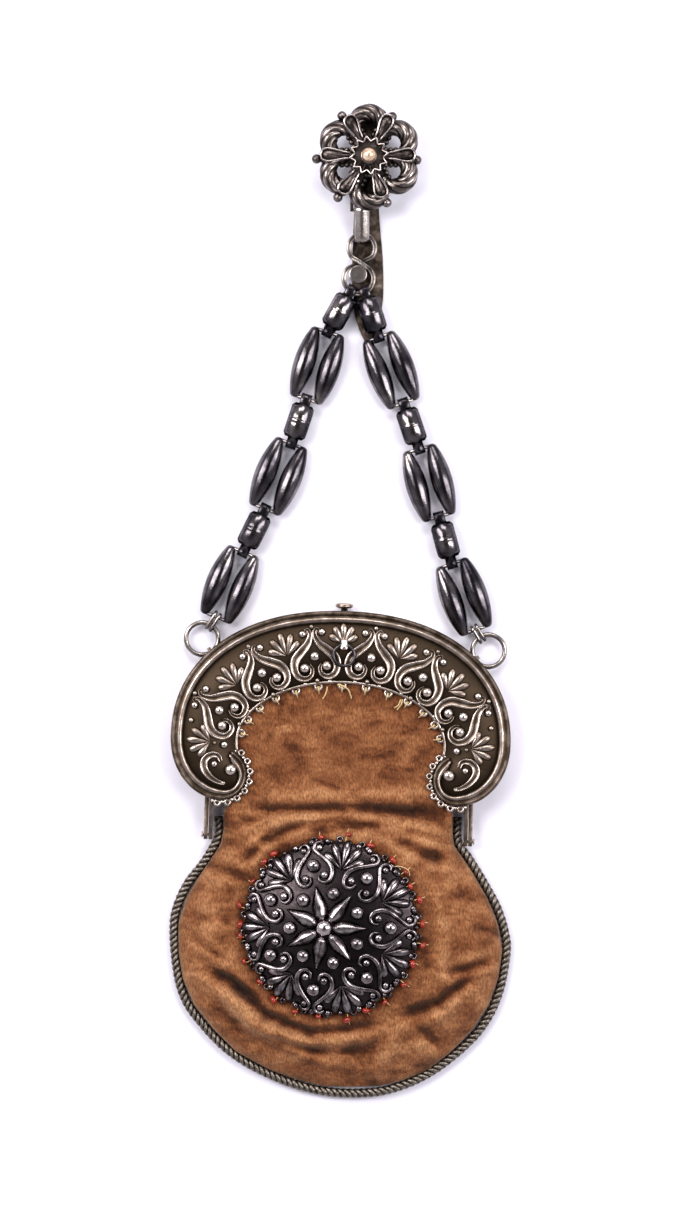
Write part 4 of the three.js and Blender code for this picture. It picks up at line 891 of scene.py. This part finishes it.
def lobed_section(radius, lobes, depth, power, sides):
    """A round section with grooves between its lobes."""
    section = []
    for k in range(sides):
        a = 2 * math.pi * k / sides
        reach = radius * (1 - depth + depth * abs(math.cos(lobes * a / 2)) ** power)
        section.append((reach * math.cos(a), reach * math.sin(a)))
    return section


cord_silver = silver_material("cord_silver", (0.014, 0.010, 0.007), (0.060, 0.046, 0.034),
                              (0.22, 0.19, 0.16), (0.62, 0.4), 0.5, 1300.0)
route = even([Vector((x, y, CORD_HEIGHT)) for x, y in spline(CORD_ROUTE, 12)], CORD_STEP)
cord = swept(lobed_section(CORD_RADIUS, 3, 0.28, 0.7, CORD_SIDES), route,
             turns=len(route) * CORD_STEP / CORD_LAY)
bm = new_piece()
add_part(bm, cord, [limited(((vert.co - route[i // CORD_SIDES]).length / CORD_RADIUS - 0.74) / 0.22)
                    for i, vert in enumerate(cord.verts)])
finish_mesh(bm, "twisted_edge_cord", "purse", cord_silver, ["edge_cord"])

# ---- medallion -----------------------------------------------------------------------------------
# A domed silver boss, left black, cast with a star of seven leaves in a ring of hearts and shells.
# Eyelets round its rim are sewn to the velvet, and each stitch carries a bead of red coral.
MEDAL_PLACE = moved(MEDAL_CENTRE.x, MEDAL_CENTRE.y, MEDAL_SEAT) @ rotated(MEDAL_TILT, "Y")
MEDAL_WALL = 1.2
MEDAL_RISE = 4.8
MEDAL_POWER = 2.2                             # how long the dome stays flat before it turns down
PATTERN_OFF = 1.7                             # the pattern's middle lies left of the rim's
DOME_STEPS = 14
RAYS = 7
KEEL = [
    # a leaf with a sharp rib: across, up
    (-0.5, -0.2), (-0.47, 0.3), (-0.22, 0.7), (-0.04, 1.0),
    (0.04, 1.0), (0.22, 0.7), (0.47, 0.3), (0.5, -0.2),
]
PLUMP = [
    # a full round scroll: across, up
    (-0.5, -0.2), (-0.48, 0.4), (-0.3, 0.85), (0, 1.0), (0.3, 0.85), (0.48, 0.4), (0.5, -0.2),
]
LEAF = [
    # along the ray, width
    (3.0, 3.0), (4.5, 4.8), (6.5, 5.5), (8.5, 4.9), (10.5, 3.5), (12.4, 2.0), (14.2, 0.5),
]
HEART = [
    # along the ray, beside it, width: from the outer curl round the lobe to the inner curl
    (27.2, 4.3, 0.6), (28.4, 3.0, 0.9), (28.0, 1.4, 1.1), (26.2, 0.9, 1.2), (24.0, 2.7, 1.4),
    (21.4, 4.9, 1.6), (18.7, 6.0, 1.7), (15.9, 5.3, 1.5), (14.8, 3.4, 1.2), (15.7, 1.6, 1.0),
    (17.3, 1.4, 0.8),
]
HEART_BALLS = [
    # along the ray, beside it, height over the dome, radius
    (17.3, 3.2, 0.5, 1.45), (26.5, 2.7, 0.4, 1.2), (27.9, 5.5, 0.1, 1.1),
]
SHELL_AT = 24.6
RIM_BALLS = 56
EYELETS_AT = 29.3
CORAL_ANGLES = [2, 17, 27, 36, 47, 64, 79, 96, 128, 136, 150, 167, 179, 186, 202, 218, 232, 247,
                262, 280, 293, 306, 322, 336, 349]


def dome_height(r):
    """Top of the dome at a share of its radius."""
    return MEDAL_RISE * (1 - r ** MEDAL_POWER) + MEDAL_WALL


def medal_share(x, y):
    return min(math.hypot(x, y) / MEDAL_RADIUS, 1.0)


def medal_point(along, beside, degrees, lift=0.0):
    """A place on the dome, along a ray of the pattern and beside it."""
    x, y = turned(along, beside, degrees)
    r = medal_share(x, y)
    return Vector((x - PATTERN_OFF * (1 - r * r), y, dome_height(r) + lift))


def over_dome(full, most):
    """Rubbed bright by the height over the dome."""
    def mark(co):
        return most * limited((co.z - dome_height(medal_share(co.x, co.y)) - 0.25) / full)

    return mark


def add_medal_scroll(bm, section, path, widths, height, mark):
    heights = [height * min(1.0, 0.4 + width / 2) for width in widths]
    add_part(bm, swept(section, path, widths, heights), mark, MEDAL_PLACE)


medal_silver = silver_material("medal_silver", (0.026, 0.020, 0.021), (0.066, 0.053, 0.055),
                               (0.60, 0.53, 0.53), (0.32, 0.15), 0.24, 300.0)
bm = new_piece()
dome = [(0, MEDAL_RISE)]
dome += [(0.995 * MEDAL_RADIUS * i / DOME_STEPS, dome_height(i / DOME_STEPS))
         for i in range(DOME_STEPS)]
dome += [(MEDAL_RADIUS - 0.5, 1.1), (MEDAL_RADIUS - 0.3, 0.8), (MEDAL_RADIUS - 0.4, 0.1),
         (MEDAL_RADIUS - 1, 0), (20, 2.2), (12, 3.8), (0, MEDAL_RISE)]
add_part(bm, lathe(dome, 84), 0.2, MEDAL_PLACE)
add_part(bm, ball(*medal_point(0, 0, 0, 0.5), 2.8, 0.8, 20), 1.1, MEDAL_PLACE)
for i in range(RAYS):
    ray = i * 360 / RAYS
    between = ray + 180 / RAYS
    add_medal_scroll(bm, KEEL, [medal_point(along, 0, ray) for along, width in LEAF],
                     [width for along, width in LEAF], 1.9, over_dome(1.0, 0.66))
    for half in (1, -1):
        heart = spline(HEART, 5)
        add_medal_scroll(bm, PLUMP, [medal_point(x, y * half, ray) for x, y, width in heart],
                         [1.25 * width for x, y, width in heart], 1.75, over_dome(1.2, 0.66))
        for along, beside, lift, radius in HEART_BALLS:
            add_part(bm, ball(*medal_point(along, beside * half, ray, lift), radius, 0.95),
                     over_dome(0.85, 0.7), MEDAL_PLACE)
    for along, degrees, lift in ((11.8, between, 0.5), (21.0, ray, 0.6)):
        add_part(bm, ball(*medal_point(along, 0, degrees, lift), 2.35, 0.9, 18),
                 over_dome(1.3, 0.7), MEDAL_PLACE)
    slope = MEDAL_RISE * MEDAL_POWER * (SHELL_AT / MEDAL_RADIUS) ** (MEDAL_POWER - 1) / MEDAL_RADIUS
    add_part(bm, shell(10.4, 2.4, 1.5), above(0.1, 1.0, 0.72),
             MEDAL_PLACE @ Matrix.Translation(medal_point(SHELL_AT, 0, between, 0.1))
             @ rotated(between - 90) @ Matrix.Rotation(-math.atan(slope), 4, "X"))

# small balls and eyelets round the rim
for i in range(RIM_BALLS):
    x, y = turned(28.5 + 0.25 * math.sin(i * 2.1), 0, i * 360 / RIM_BALLS)
    add_part(bm, ball(x, y, 1.1, 1.05 + 0.2 * math.sin(i * 1.3), 0.9, 12), above(0.9, 1.9, 0.6),
             MEDAL_PLACE)
for degrees in CORAL_ANGLES:
    add_part(bm, wire_ring(0.85, 0.38, 14, 7), above(-0.3, 0.3, 0.6),
             MEDAL_PLACE @ moved(*turned(EYELETS_AT, 0, degrees + 5), 0.5))
finish_mesh(bm, "medallion_cast", "purse", medal_silver, ["medallion"])

coral_red = grained_material(
    "coral_red", [(0.3, (0.12, 0.005, 0.002)), (0.65, (0.35, 0.023, 0.007))],
    {"Roughness": 0.22, "Coat Weight": 0.2}, Scale=900.0, Detail=4.0)
bm = new_piece()
sewing = new_piece()
for i, degrees in enumerate(CORAL_ANGLES):
    reach = 30.6 + 0.7 * math.sin(i * 2.4)
    place = (MEDAL_PLACE @ moved(*turned(reach, 0, degrees), 0.75)
             @ rotated(degrees + 40 * math.sin(i * 3.1)) @ rotated(90, "Y")
             @ Matrix.Scale(0.95 + 0.15 * math.sin(i * 1.7), 4))
    add_part(bm, wire_ring(0.7, 0.64, 18, 12, 1.2), 0.5, place)
    stitch = [(*turned(along, 0.5, degrees), z) for along, z in
              ((28.6, 0.8), (29.6, 1.1), (reach, 0.8), (reach + 1.3, 0.2), (reach + 1.7, -0.6))]
    add_part(sewing, thread(stitch, 0.14), 0.0, MEDAL_PLACE)
tail = [(*turned(along, 0, degrees), z) for along, degrees, z in
        ((28.5, 44, 0.9), (30.4, 42, 1.4), (32.0, 37, 0.9), (31.4, 33, 0.5))]
add_part(sewing, thread(tail, 0.16), 0.0, MEDAL_PLACE)
finish_mesh(bm, "coral_beads", "purse", coral_red)
finish_mesh(sewing, "medallion_stitches", "purse", thread_silk)

# ---- chain ---------------------------------------------------------------------------------------
# Two strands, each of three pairs of hollow spindles joined by crossbars, with a stamped strap bent
# round the bars between each two pairs.  The silver has gone nearly black and is still glossy.
CHAIN_Z = 3.6
PAIRS = {
    # x, y, degrees
    "left": [(-7.8, 78.7, -18), (-20.8, 41.7, -22.2), (-37, 5.5, -22.8)],
    "right": [(17, 77.2, 20.8), (29.7, 39.5, 16.5), (41.3, 1.4, 20.1)],
}
HANG = {"left": (3.4, 103.55), "right": (8.2, 103.22)}
BAR_AT = 11.75                                # crossbars from a pair's middle
BAR_RADIUS = 0.6
SPINDLE_AT = 4.3                              # spindles from a pair's middle
SPINDLE_RADIUS = 3.65
SPINDLE_STEPS = 28
OPEN = 1.05                                   # inside radius of a strap's bend
HOOK_REACH = 1.55                             # of the two uppermost straps, round the link's wire
HOOK_TAB = 3.2
TAB = 3.6                                     # width of a strap at its bends
STRAP_HALF = 0.35                             # half of its thickness
STRAP_SIDE = 3.8                              # half of its width
DOME_REACH = 5.9                              # half the length of its domed part
DOME_RISE = 1.9
DOME_DROP = 1.1                               # how far its sides bend down
STRAP_SECTION = [
    # up, a share of half the width
    (-STRAP_HALF, -1), (0.2, -1), (STRAP_HALF, -0.92), (STRAP_HALF, -0.5), (STRAP_HALF, 0),
    (STRAP_HALF, 0.5), (STRAP_HALF, 0.92), (0.2, 1), (-STRAP_HALF, 1), (-STRAP_HALF, 0),
]
chain_silver = silver_material("chain_silver", (0.026, 0.023, 0.029), (0.130, 0.117, 0.124),
                               (0.42, 0.37, 0.34), (0.22, 0.1), 0.42, 100.0)


def spindle():
    """A barrel with blunt ends, fullest in the middle."""
    profile = [(0, -12.35), (0.6, -12.3), (1.1, -12.0)]
    for i in range(SPINDLE_STEPS + 1):
        h = 11.6 * (2 * i / SPINDLE_STEPS - 1)
        t = abs(h) / 12.0
        profile.append((SPINDLE_RADIUS * (1 - 0.04 * t - 0.60 * t ** 2.1), h))
    return lathe(profile + [(1.1, 12.0), (0.6, 12.3), (0, 12.35)], 36)


def crossbar():
    return lathe([(0, -SPINDLE_AT), (BAR_RADIUS, -SPINDLE_AT), (BAR_RADIUS, -0.2),
                  (BAR_RADIUS * 0.8, 0), (BAR_RADIUS, 0.2), (BAR_RADIUS, SPINDLE_AT),
                  (0, SPINDLE_AT)], 14)


def strap(length, reach, tab):
    """A strip bent round two bars that lie a length apart, with a domed, ridged front."""
    middle = length / 2
    bend = OPEN + STRAP_HALF
    path = arc(OPEN - reach, 0, bend, bend, 270, 90, 10)
    for i in range(45):
        t = 2 * i / 44 - 1
        ridge = 0.17 * math.exp(-(t / 0.08) ** 2)
        path.append(Vector((middle + DOME_REACH * t,
                            bend + DOME_RISE * (1 - t * t) ** 0.62 + ridge, 0)))
    path += arc(length, 0, bend, bend, 90, -90, 10)
    path += [Vector((length - length * i / 8, -bend, 0)) for i in range(1, 8)]
    path = [Vector((p.x, 0, p.y)) for p in path]
    halves = []
    for p in path:
        own_tab = tab if p.x < middle else TAB
        full = limited((DOME_REACH - abs(p.x - middle)) / 1.3) ** 0.42
        halves.append(own_tab / 2 + (STRAP_SIDE - own_tab / 2) * full)
    part = swept(STRAP_SECTION, path, heights=halves, up=Vector((0, 1, 0)), closed=True)
    for vert in part.verts:
        vert.co.z -= DOME_DROP * (vert.co.y / STRAP_SIDE) ** 2 * limited((vert.co.z - 1.5) / 0.6)
    return part


def strap_mark(co):
    return 0.16 + 0.42 * limited((co.z - 1.5) / 2.1)


bm = new_piece()
last_bar = {}
for strand, pairs in PAIRS.items():
    start, reach, tab = Vector(HANG[strand]), HOOK_REACH, HOOK_TAB
    for x, y, lean in pairs:
        upper_bar, lower_bar = (Vector((x, y)) + Vector(turned(0, end * BAR_AT, lean))
                                for end in (1, -1))
        along = upper_bar - start
        place = moved(*start, CHAIN_Z) @ Matrix.Rotation(math.atan2(along.y, along.x), 4, "Z")
        add_part(bm, strap(along.length, reach, tab), strap_mark, place)
        tab_end = [Vector((OPEN - reach + u, v, 1.78)) for u, v in
                   ((-0.6, -1.5), (2.0, -1.5), (2.0, 1.5), (-0.6, 1.5))]
        add_part(bm, slab(tab_end, (0, 0, 0.35), 0.1), 0.3, place)
        place = moved(x, y, CHAIN_Z) @ rotated(lean)
        for side in (1, -1):
            add_part(bm, spindle(), 0.42, place @ moved(side * SPINDLE_AT, 0) @ rotated(-90, "X"))
            add_part(bm, crossbar(), 0.7, place @ moved(0, side * BAR_AT) @ rotated(90, "Y"))
        start, reach, tab = lower_bar, OPEN, TAB
    last_bar[strand] = start
finish_mesh(bm, "chain_strands", "purse", chain_silver,
            [f"{kind}_link_{strand}_{i}" for kind in ("strap", "spindle")
             for strand in PAIRS for i in (1, 2, 3)])

# ---- rings between the chain and the frame -------------------------------------------------------
# A large ring of round wire runs through each eye of the frame's back half, and a pair of oval jump
# rings hangs it on the last crossbar of its strand.
RING_RADIUS = 5.4
RING_Z = 2.6
JUMP_DROP = 1.0                               # from the crossbar down to the large ring
ring_silver = silver_material("ring_silver", (0.028, 0.022, 0.018), (0.17, 0.145, 0.13),
                              (0.55, 0.50, 0.46), (0.42, 0.18), 0.3, 260.0)
bm = new_piece()
jump = new_piece()
for strand, (side, swing) in RING_SWING.items():
    u, v = turned(RING_RADIUS, 0, swing)
    centre = (FRAME_PLACE @ Vector((side * LUG[0] + u, LUG[1] + v, 0))).to_2d()
    add_part(bm, wire_ring(RING_RADIUS, 0.8, 56, 14), above(-0.6, 0.7, 0.75),
             moved(*centre, RING_Z))
    along = centre - last_bar[strand]
    beside = Vector((-along.y, along.x)).normalized()
    oval = (arc(0, 0, 1.45, 1.45, 90, 270, 12)
            + arc(along.length - RING_RADIUS, -JUMP_DROP, 1.65, 1.65, -90, 90, 12))
    for offset in (-0.8, 0.8):
        link = swept(round_section(0.55, 10), [Vector((p.x, 0, p.y)) for p in oval],
                     up=Vector((0, 1, 0)), closed=True)
        add_part(jump, link, above(-1.0, 1.6, 0.8),
                 moved(*(last_bar[strand] + beside * offset), CHAIN_Z)
                 @ Matrix.Rotation(math.atan2(along.y, along.x), 4, "Z"))
finish_mesh(bm, "frame_rings", "purse", ring_silver, ["ring_left", "ring_right"])
finish_mesh(jump, "jump_rings", "purse", ring_silver,
            [f"jump_ring_{strand}_{letter}" for strand in PAIRS for letter in "ab"])

# ---- figure-eight link and bail ------------------------------------------------------------------
# A grooved wire bent to a figure eight, with a small disc soldered in its lower loop for both
# strands to hang under.  A broad polished bail hangs its upper loop on the belt hook's bar.
LINK_X = 7.2
HOOK_BAR = (130.6, 5.7)                       # y and z of the bar that the bail hangs on
CROSSING_LIFT = 0.42
CROSSING_STEPS = 7
GROOVED_WIRE = [
    # across, up
    (-0.62, -0.5), (-0.82, -0.1), (-0.76, 0.35), (-0.5, 0.6), (-0.22, 0.45), (0, 0.15),
    (0.22, 0.45), (0.5, 0.6), (0.76, 0.35), (0.82, -0.1), (0.62, -0.5),
]
DISC = [
    # radius, height
    (0, -0.5), (2.8, -0.5), (3.1, -0.2), (3.1, 0.3), (2.85, 0.5), (2.5, 0.42), (1.2, 0.5),
    (0, 0.55),
]
BAIL = [
    # up, across
    (-0.35, -2.2), (-0.15, -2.48), (0.1, -2.4), (0.5, -1.8), (0.95, -0.8), (1.08, 0),
    (0.95, 0.8), (0.5, 1.8), (0.1, 2.4), (-0.15, 2.48), (-0.35, 2.2),
]


def crossing(start, end, lift):
    """The wire between the two loops, where it passes over or under itself."""
    return [start.lerp(end, i / CROSSING_STEPS)
            + UP * lift * math.sin(math.pi * i / CROSSING_STEPS) for i in range(1, CROSSING_STEPS)]


upper = arc(LINK_X, 118, 4.4, 4.6, -40, 220, 36, CHAIN_Z)
lower = arc(6.1, 107.7, 4.95, 4.95, 45, -225, 40, CHAIN_Z)
eight = (upper + crossing(upper[-1], lower[0], CROSSING_LIFT)
         + lower + crossing(lower[-1], upper[0], -CROSSING_LIFT))
bm = new_piece()
add_part(bm, swept(GROOVED_WIRE, eight, closed=True), above(CHAIN_Z + 0.1, CHAIN_Z + 0.65, 0.8))
add_part(bm, lathe(DISC), 0.7, moved(5.9, 109.2, CHAIN_Z))
finish_mesh(bm, "eight_link_wire", "purse", ring_silver, ["eight_link"])

bm = new_piece()
loop = arc(*HOOK_BAR, 1.2, 1.2, 115, -60, 12) + arc(121.9, CHAIN_Z, 1.5, 1.5, -80, -240, 12)
loop = even([Vector((LINK_X, p.x, p.y)) for p in loop + [loop[0]]], 0.5)[:-1]
add_part(bm, swept(BAIL, loop, up=Vector((1, 0, 0)), closed=True), above(1.0, 5.5, 0.85))
finish_mesh(bm, "bail", "purse", ring_silver, ["brooch_bail"])

# ---- belt hook -----------------------------------------------------------------------------------
# One long strip of silver: a plate on the brooch's back that bends over at the top and runs down
# behind as a leaf-shaped tongue, to slip over a belt.  The bail's bar crosses its lower end.
HOOK_WALL = 1.0
BEND_Y = 162
TONGUE = [
    # y, x of the middle, half the width
    (BEND_Y, 9.5, 4), (150, 9.2, 4), (130, 8.8, 4.2), (115, 9.1, 5.1), (103, 9.2, 5.2),
    (96, 9.2, 4.4), (90, 9.7, 3), (86.5, 10.05, 1.5), (85.6, 10.1, 0.4),
]
HOOK_PLATE = [
    # x, y: down from the bend to the two ears that hold the bar, and up again
    (5.5, 162.1), (5.5, 140), (3.3, 136), (3.3, 130.05), (4.3, 130.05), (4.3, 133),
    (10.1, 133), (10.1, 130.05), (11.1, 130.05), (11.1, 136), (13.5, 140), (13.5, 162.1),
]
hook_silver = silver_material("hook_silver", (0.016, 0.012, 0.009), (0.085, 0.064, 0.05),
                              (0.36, 0.29, 0.23), (0.5, 0.3), 0.42, 300.0)
bm = new_piece()
tongue = spline(TONGUE, 6)
outline = ([Vector((x - half, y, 0)) for y, x, half in tongue]
           + [Vector((x + half, y, 0)) for y, x, half in reversed(tongue)])
add_part(bm, slab(outline, (0, 0, HOOK_WALL), 0.1), 0.35)
bend = [Vector((9.5, BEND_Y + p.x, 3.15 + p.y)) for p in arc(0, 0, 2.65, 2.65, -90, 90, 18)]
add_part(bm, swept([(-0.5, -4), (-0.5, 4), (0.3, 4), (0.5, 3.7), (0.5, -3.7), (0.3, -4)], bend,
                   up=Vector((1, 0, 0))), 0.5)
add_part(bm, slab([Vector((x, y, 5.3)) for x, y in HOOK_PLATE], (0, 0, HOOK_WALL), 0.12), 0.3)
bar = lathe([(0, -3.7), (0.45, -3.7), (0.55, -3.6), (0.55, 3.6), (0.45, 3.7), (0, 3.7)], 14)
add_part(bm, bar, 0.6, moved(LINK_X, *HOOK_BAR) @ rotated(90, "Y"))
finish_mesh(bm, "belt_hook_strip", "purse", hook_silver, ["belt_hook"])

# ---- brooch --------------------------------------------------------------------------------------
# A rosette of six plump gadrooned scrolls with a ball between each two, on a beaded dark star.
# Six spoon-shaped petals with wire rims lie over it, then a calyx of twelve points round a gilt
# ball.
BROOCH = moved(9.5, 147.8)
ROSETTE_Z = 9.6
LOBES = 6
LOBE_STEPS = 34
LOBE_SIDES = 42
OUTER_BALLS = [
    # degrees, distance from the middle
    (182, 17.4), (232.5, 16.9), (291.6, 16.3), (123, 16.4), (60, 15.6), (356.5, 16.0),
]
STAR_POINT = [(12.2, -1.6), (12.8, 0), (12.2, 1.6), (9.5, 2.3), (6.5, 2.5), (4.6, 2.66)]
brooch_silver = silver_material("brooch_silver", (0.018, 0.014, 0.012), (0.14, 0.113, 0.103),
                                (0.54, 0.48, 0.45), (0.4, 0.18), 0.34, 240.0)
gadroons = lobed_section(1.0, 7, 0.11, 0.8, LOBE_SIDES)
bm = new_piece()
on_top = above(ROSETTE_Z - 1, ROSETTE_Z + 2, 0.62)
for i in range(LOBES):
    degrees = 30 + 60 * i
    path = arc(*turned(10.2, 0, degrees), 4.6, 4.6, degrees - 118, degrees + 118, LOBE_STEPS,
               ROSETTE_Z)
    sizes = [1.5 + 1.6 * math.sin(math.pi * k / LOBE_STEPS) ** 0.7 for k in range(LOBE_STEPS + 1)]
    lobe = swept(gadroons, path, sizes, sizes, turns=0.75)
    marks = []
    for k, vert in enumerate(lobe.verts):
        step = k // LOBE_SIDES
        out = (vert.co - path[step]).length / sizes[step]
        marks.append(limited((out - 0.88) / 0.1) * on_top(vert.co))
    add_part(bm, lobe, marks, BROOCH)
    for spot in (path[0], path[-1]):
        add_part(bm, ball(spot.x, spot.y, ROSETTE_Z + 0.4, 1.5, 0.9),
                 above(ROSETTE_Z, ROSETTE_Z + 1.6, 0.6), BROOCH)
for degrees, r in OUTER_BALLS:
    add_part(bm, ball(*turned(r, 0, degrees), ROSETTE_Z, 1.6, 1.0, 18),
             above(ROSETTE_Z - 0.5, ROSETTE_Z + 1.4, 0.6), BROOCH)
    add_part(bm, ball(*turned(r - 2.6, 0, degrees), ROSETTE_Z - 0.6, 1.7, 0.9), 0.2, BROOCH)
star = [Vector((*turned(x, y, 60 * i), 6.7)) for i in range(LOBES) for x, y in STAR_POINT]
add_part(bm, slab(star, (0, 0, 1.7), 0.2), 0.1, BROOCH)
for i in range(LOBES):
    for along in (5.6, 7.3, 9.0, 10.7):
        for beside in (-2.5, 2.5):
            add_part(bm, ball(*turned(along, beside, 60 * i), 8.4, 0.95, 0.9, 12),
                     above(8.4, 9.2, 0.45), BROOCH)
add_part(bm, lathe([(0, 7.9), (1.6, 7.9), (1.6, 12.3), (0, 12.3)], 20), 0.2, BROOCH)
finish_mesh(bm, "brooch_scrolls", "purse", brooch_silver, ["brooch_rosette"])

PETAL_Z = 12.6
PETALS = [
    # degrees, length
    (117.7, 15.2), (62.7, 15.4), (1.5, 15.5), (-70.9, 14.6), (-127.4, 15.5), (178, 16.2),
]
SPOON_LENGTH = 15.5
SPOON = [
    # along, half the width
    (1.5, 1.0), (4.0, 0.95), (6.5, 1.05), (9.0, 1.5), (11.5, 2.15), (13.5, 2.35), (15.0, 1.6),
    (SPOON_LENGTH, 0.0),
]
VEIN = [
    # along, width, height
    (3, 1.0, 0.4), (6, 0.8, 0.4), (8, 1.2, 0.5), (10, 0.9, 0.4), (12, 0.3, 0.2),
]


def petal_mark(co):
    return 0.62 - 0.32 * smoothstep(math.hypot(co.x, co.y), 8.5, 11.5)


def add_vein(bm, sizes, points, mark):
    """A sharp rib through the points, with a width and a height at each."""
    add_part(bm, swept(KEEL, points, [width for along, width, height in sizes],
                       [height for along, width, height in sizes]), mark, BROOCH)


bm = new_piece()
hub = lathe([(0, PETAL_Z), (3.3, PETAL_Z), (3.5, 12.9), (3.3, 13.5), (2.2, 13.8), (0, 13.8)])
add_part(bm, hub, 0.3, BROOCH)
for degrees, length in PETALS:
    stretch = length / SPOON_LENGTH
    half = [(x * stretch, y) for x, y in spline(SPOON, 5)]
    edge_points = half + [(x, -y) for x, y in half[-2::-1]]
    outline = [Vector((*turned(x, y, degrees), PETAL_Z)) for x, y in edge_points]
    add_part(bm, slab(outline, (0, 0, 0.55)), petal_mark, BROOCH)
    wire = [Vector((*turned(x * 0.985 + 0.1, y * 0.9, degrees),
                    13.35 - 0.5 * smoothstep(8 - x, 0, 3))) for x, y in edge_points]
    add_part(bm, swept(round_section(0.36, 10), wire, closed=True), above(13.15, 13.65, 0.95),
             BROOCH)
    vein = [Vector((*turned(along * stretch, 0, degrees), 13.15)) for along, width, height in VEIN]
    add_vein(bm, VEIN, vein, 0.4)
finish_mesh(bm, "brooch_spoons", "purse", brooch_silver, ["brooch_petals"])

CALYX_Z = 14.1
CALYX_POINTS = 12
CALYX_TURN = 7                                # degrees
CALYX_VEIN = [
    # along, width, height
    (2.4, 0.5, 0.5), (3.4, 0.7, 0.5), (4.6, 0.6, 0.4), (5.8, 0.2, 0.2),
]


def curl_up(r):
    """How far the calyx rises at a distance from its middle."""
    return 1.1 * smoothstep(r, 3, 7)


bm = new_piece()
rays = [Vector((*turned(4.7 if i % 2 else 6.35, 0, i * 180 / CALYX_POINTS + CALYX_TURN), CALYX_Z))
        for i in range(2 * CALYX_POINTS)]
cup = slab(rays, (0, 0, 0.4))
for vert in cup.verts:
    vert.co.z += curl_up(math.hypot(vert.co.x, vert.co.y))
add_part(bm, cup, 0.1, BROOCH)
wire = even([p + UP * 0.5 for p in rays + rays[:1]], 0.3)[:-1]
for p in wire:
    p.z += curl_up(math.hypot(p.x, p.y))
add_part(bm, swept(round_section(0.3, 8), wire, closed=True), above(14.9, 15.4), BROOCH)
for i in range(CALYX_POINTS):
    vein = [Vector((*turned(along, 0, i * 360 / CALYX_POINTS + CALYX_TURN), 14.4 + curl_up(along)))
            for along, width, height in CALYX_VEIN]
    add_vein(bm, CALYX_VEIN, vein, 0.3)
add_part(bm, wire_ring(2.35, 0.35, 36, 8), above(-0.2, 0.3, 0.8), BROOCH @ moved(0, 0, 14.75))
finish_mesh(bm, "brooch_calyx_star", "purse", brooch_silver, ["brooch_calyx"])

BEAD_RADIUS = 2.35
BEAD_Z = 17.0
BEAD_STEPS = 16
worn_gilt = grained_material(
    "worn_gilt",
    [(0.35, (0.60, 0.36, 0.20)), (0.55, (0.90, 0.63, 0.42)), (0.7, (0.98, 0.81, 0.64))],
    {"Metallic": 0.85, "Roughness": 0.3}, Scale=600.0, Detail=5.0)
bm = new_piece()
bead = [(0, CALYX_Z), (0.8, CALYX_Z), (0.8, 14.9)]
for i in range(BEAD_STEPS):
    a = math.radians(158 * i / BEAD_STEPS - 68)
    bead.append((BEAD_RADIUS * math.cos(a), BEAD_Z + BEAD_RADIUS * math.sin(a)))
add_part(bm, lathe(bead + [(0, BEAD_Z + BEAD_RADIUS)]), 0.5, BROOCH)
finish_mesh(bm, "gilt_ball", "purse", worn_gilt, ["brooch_bead"])
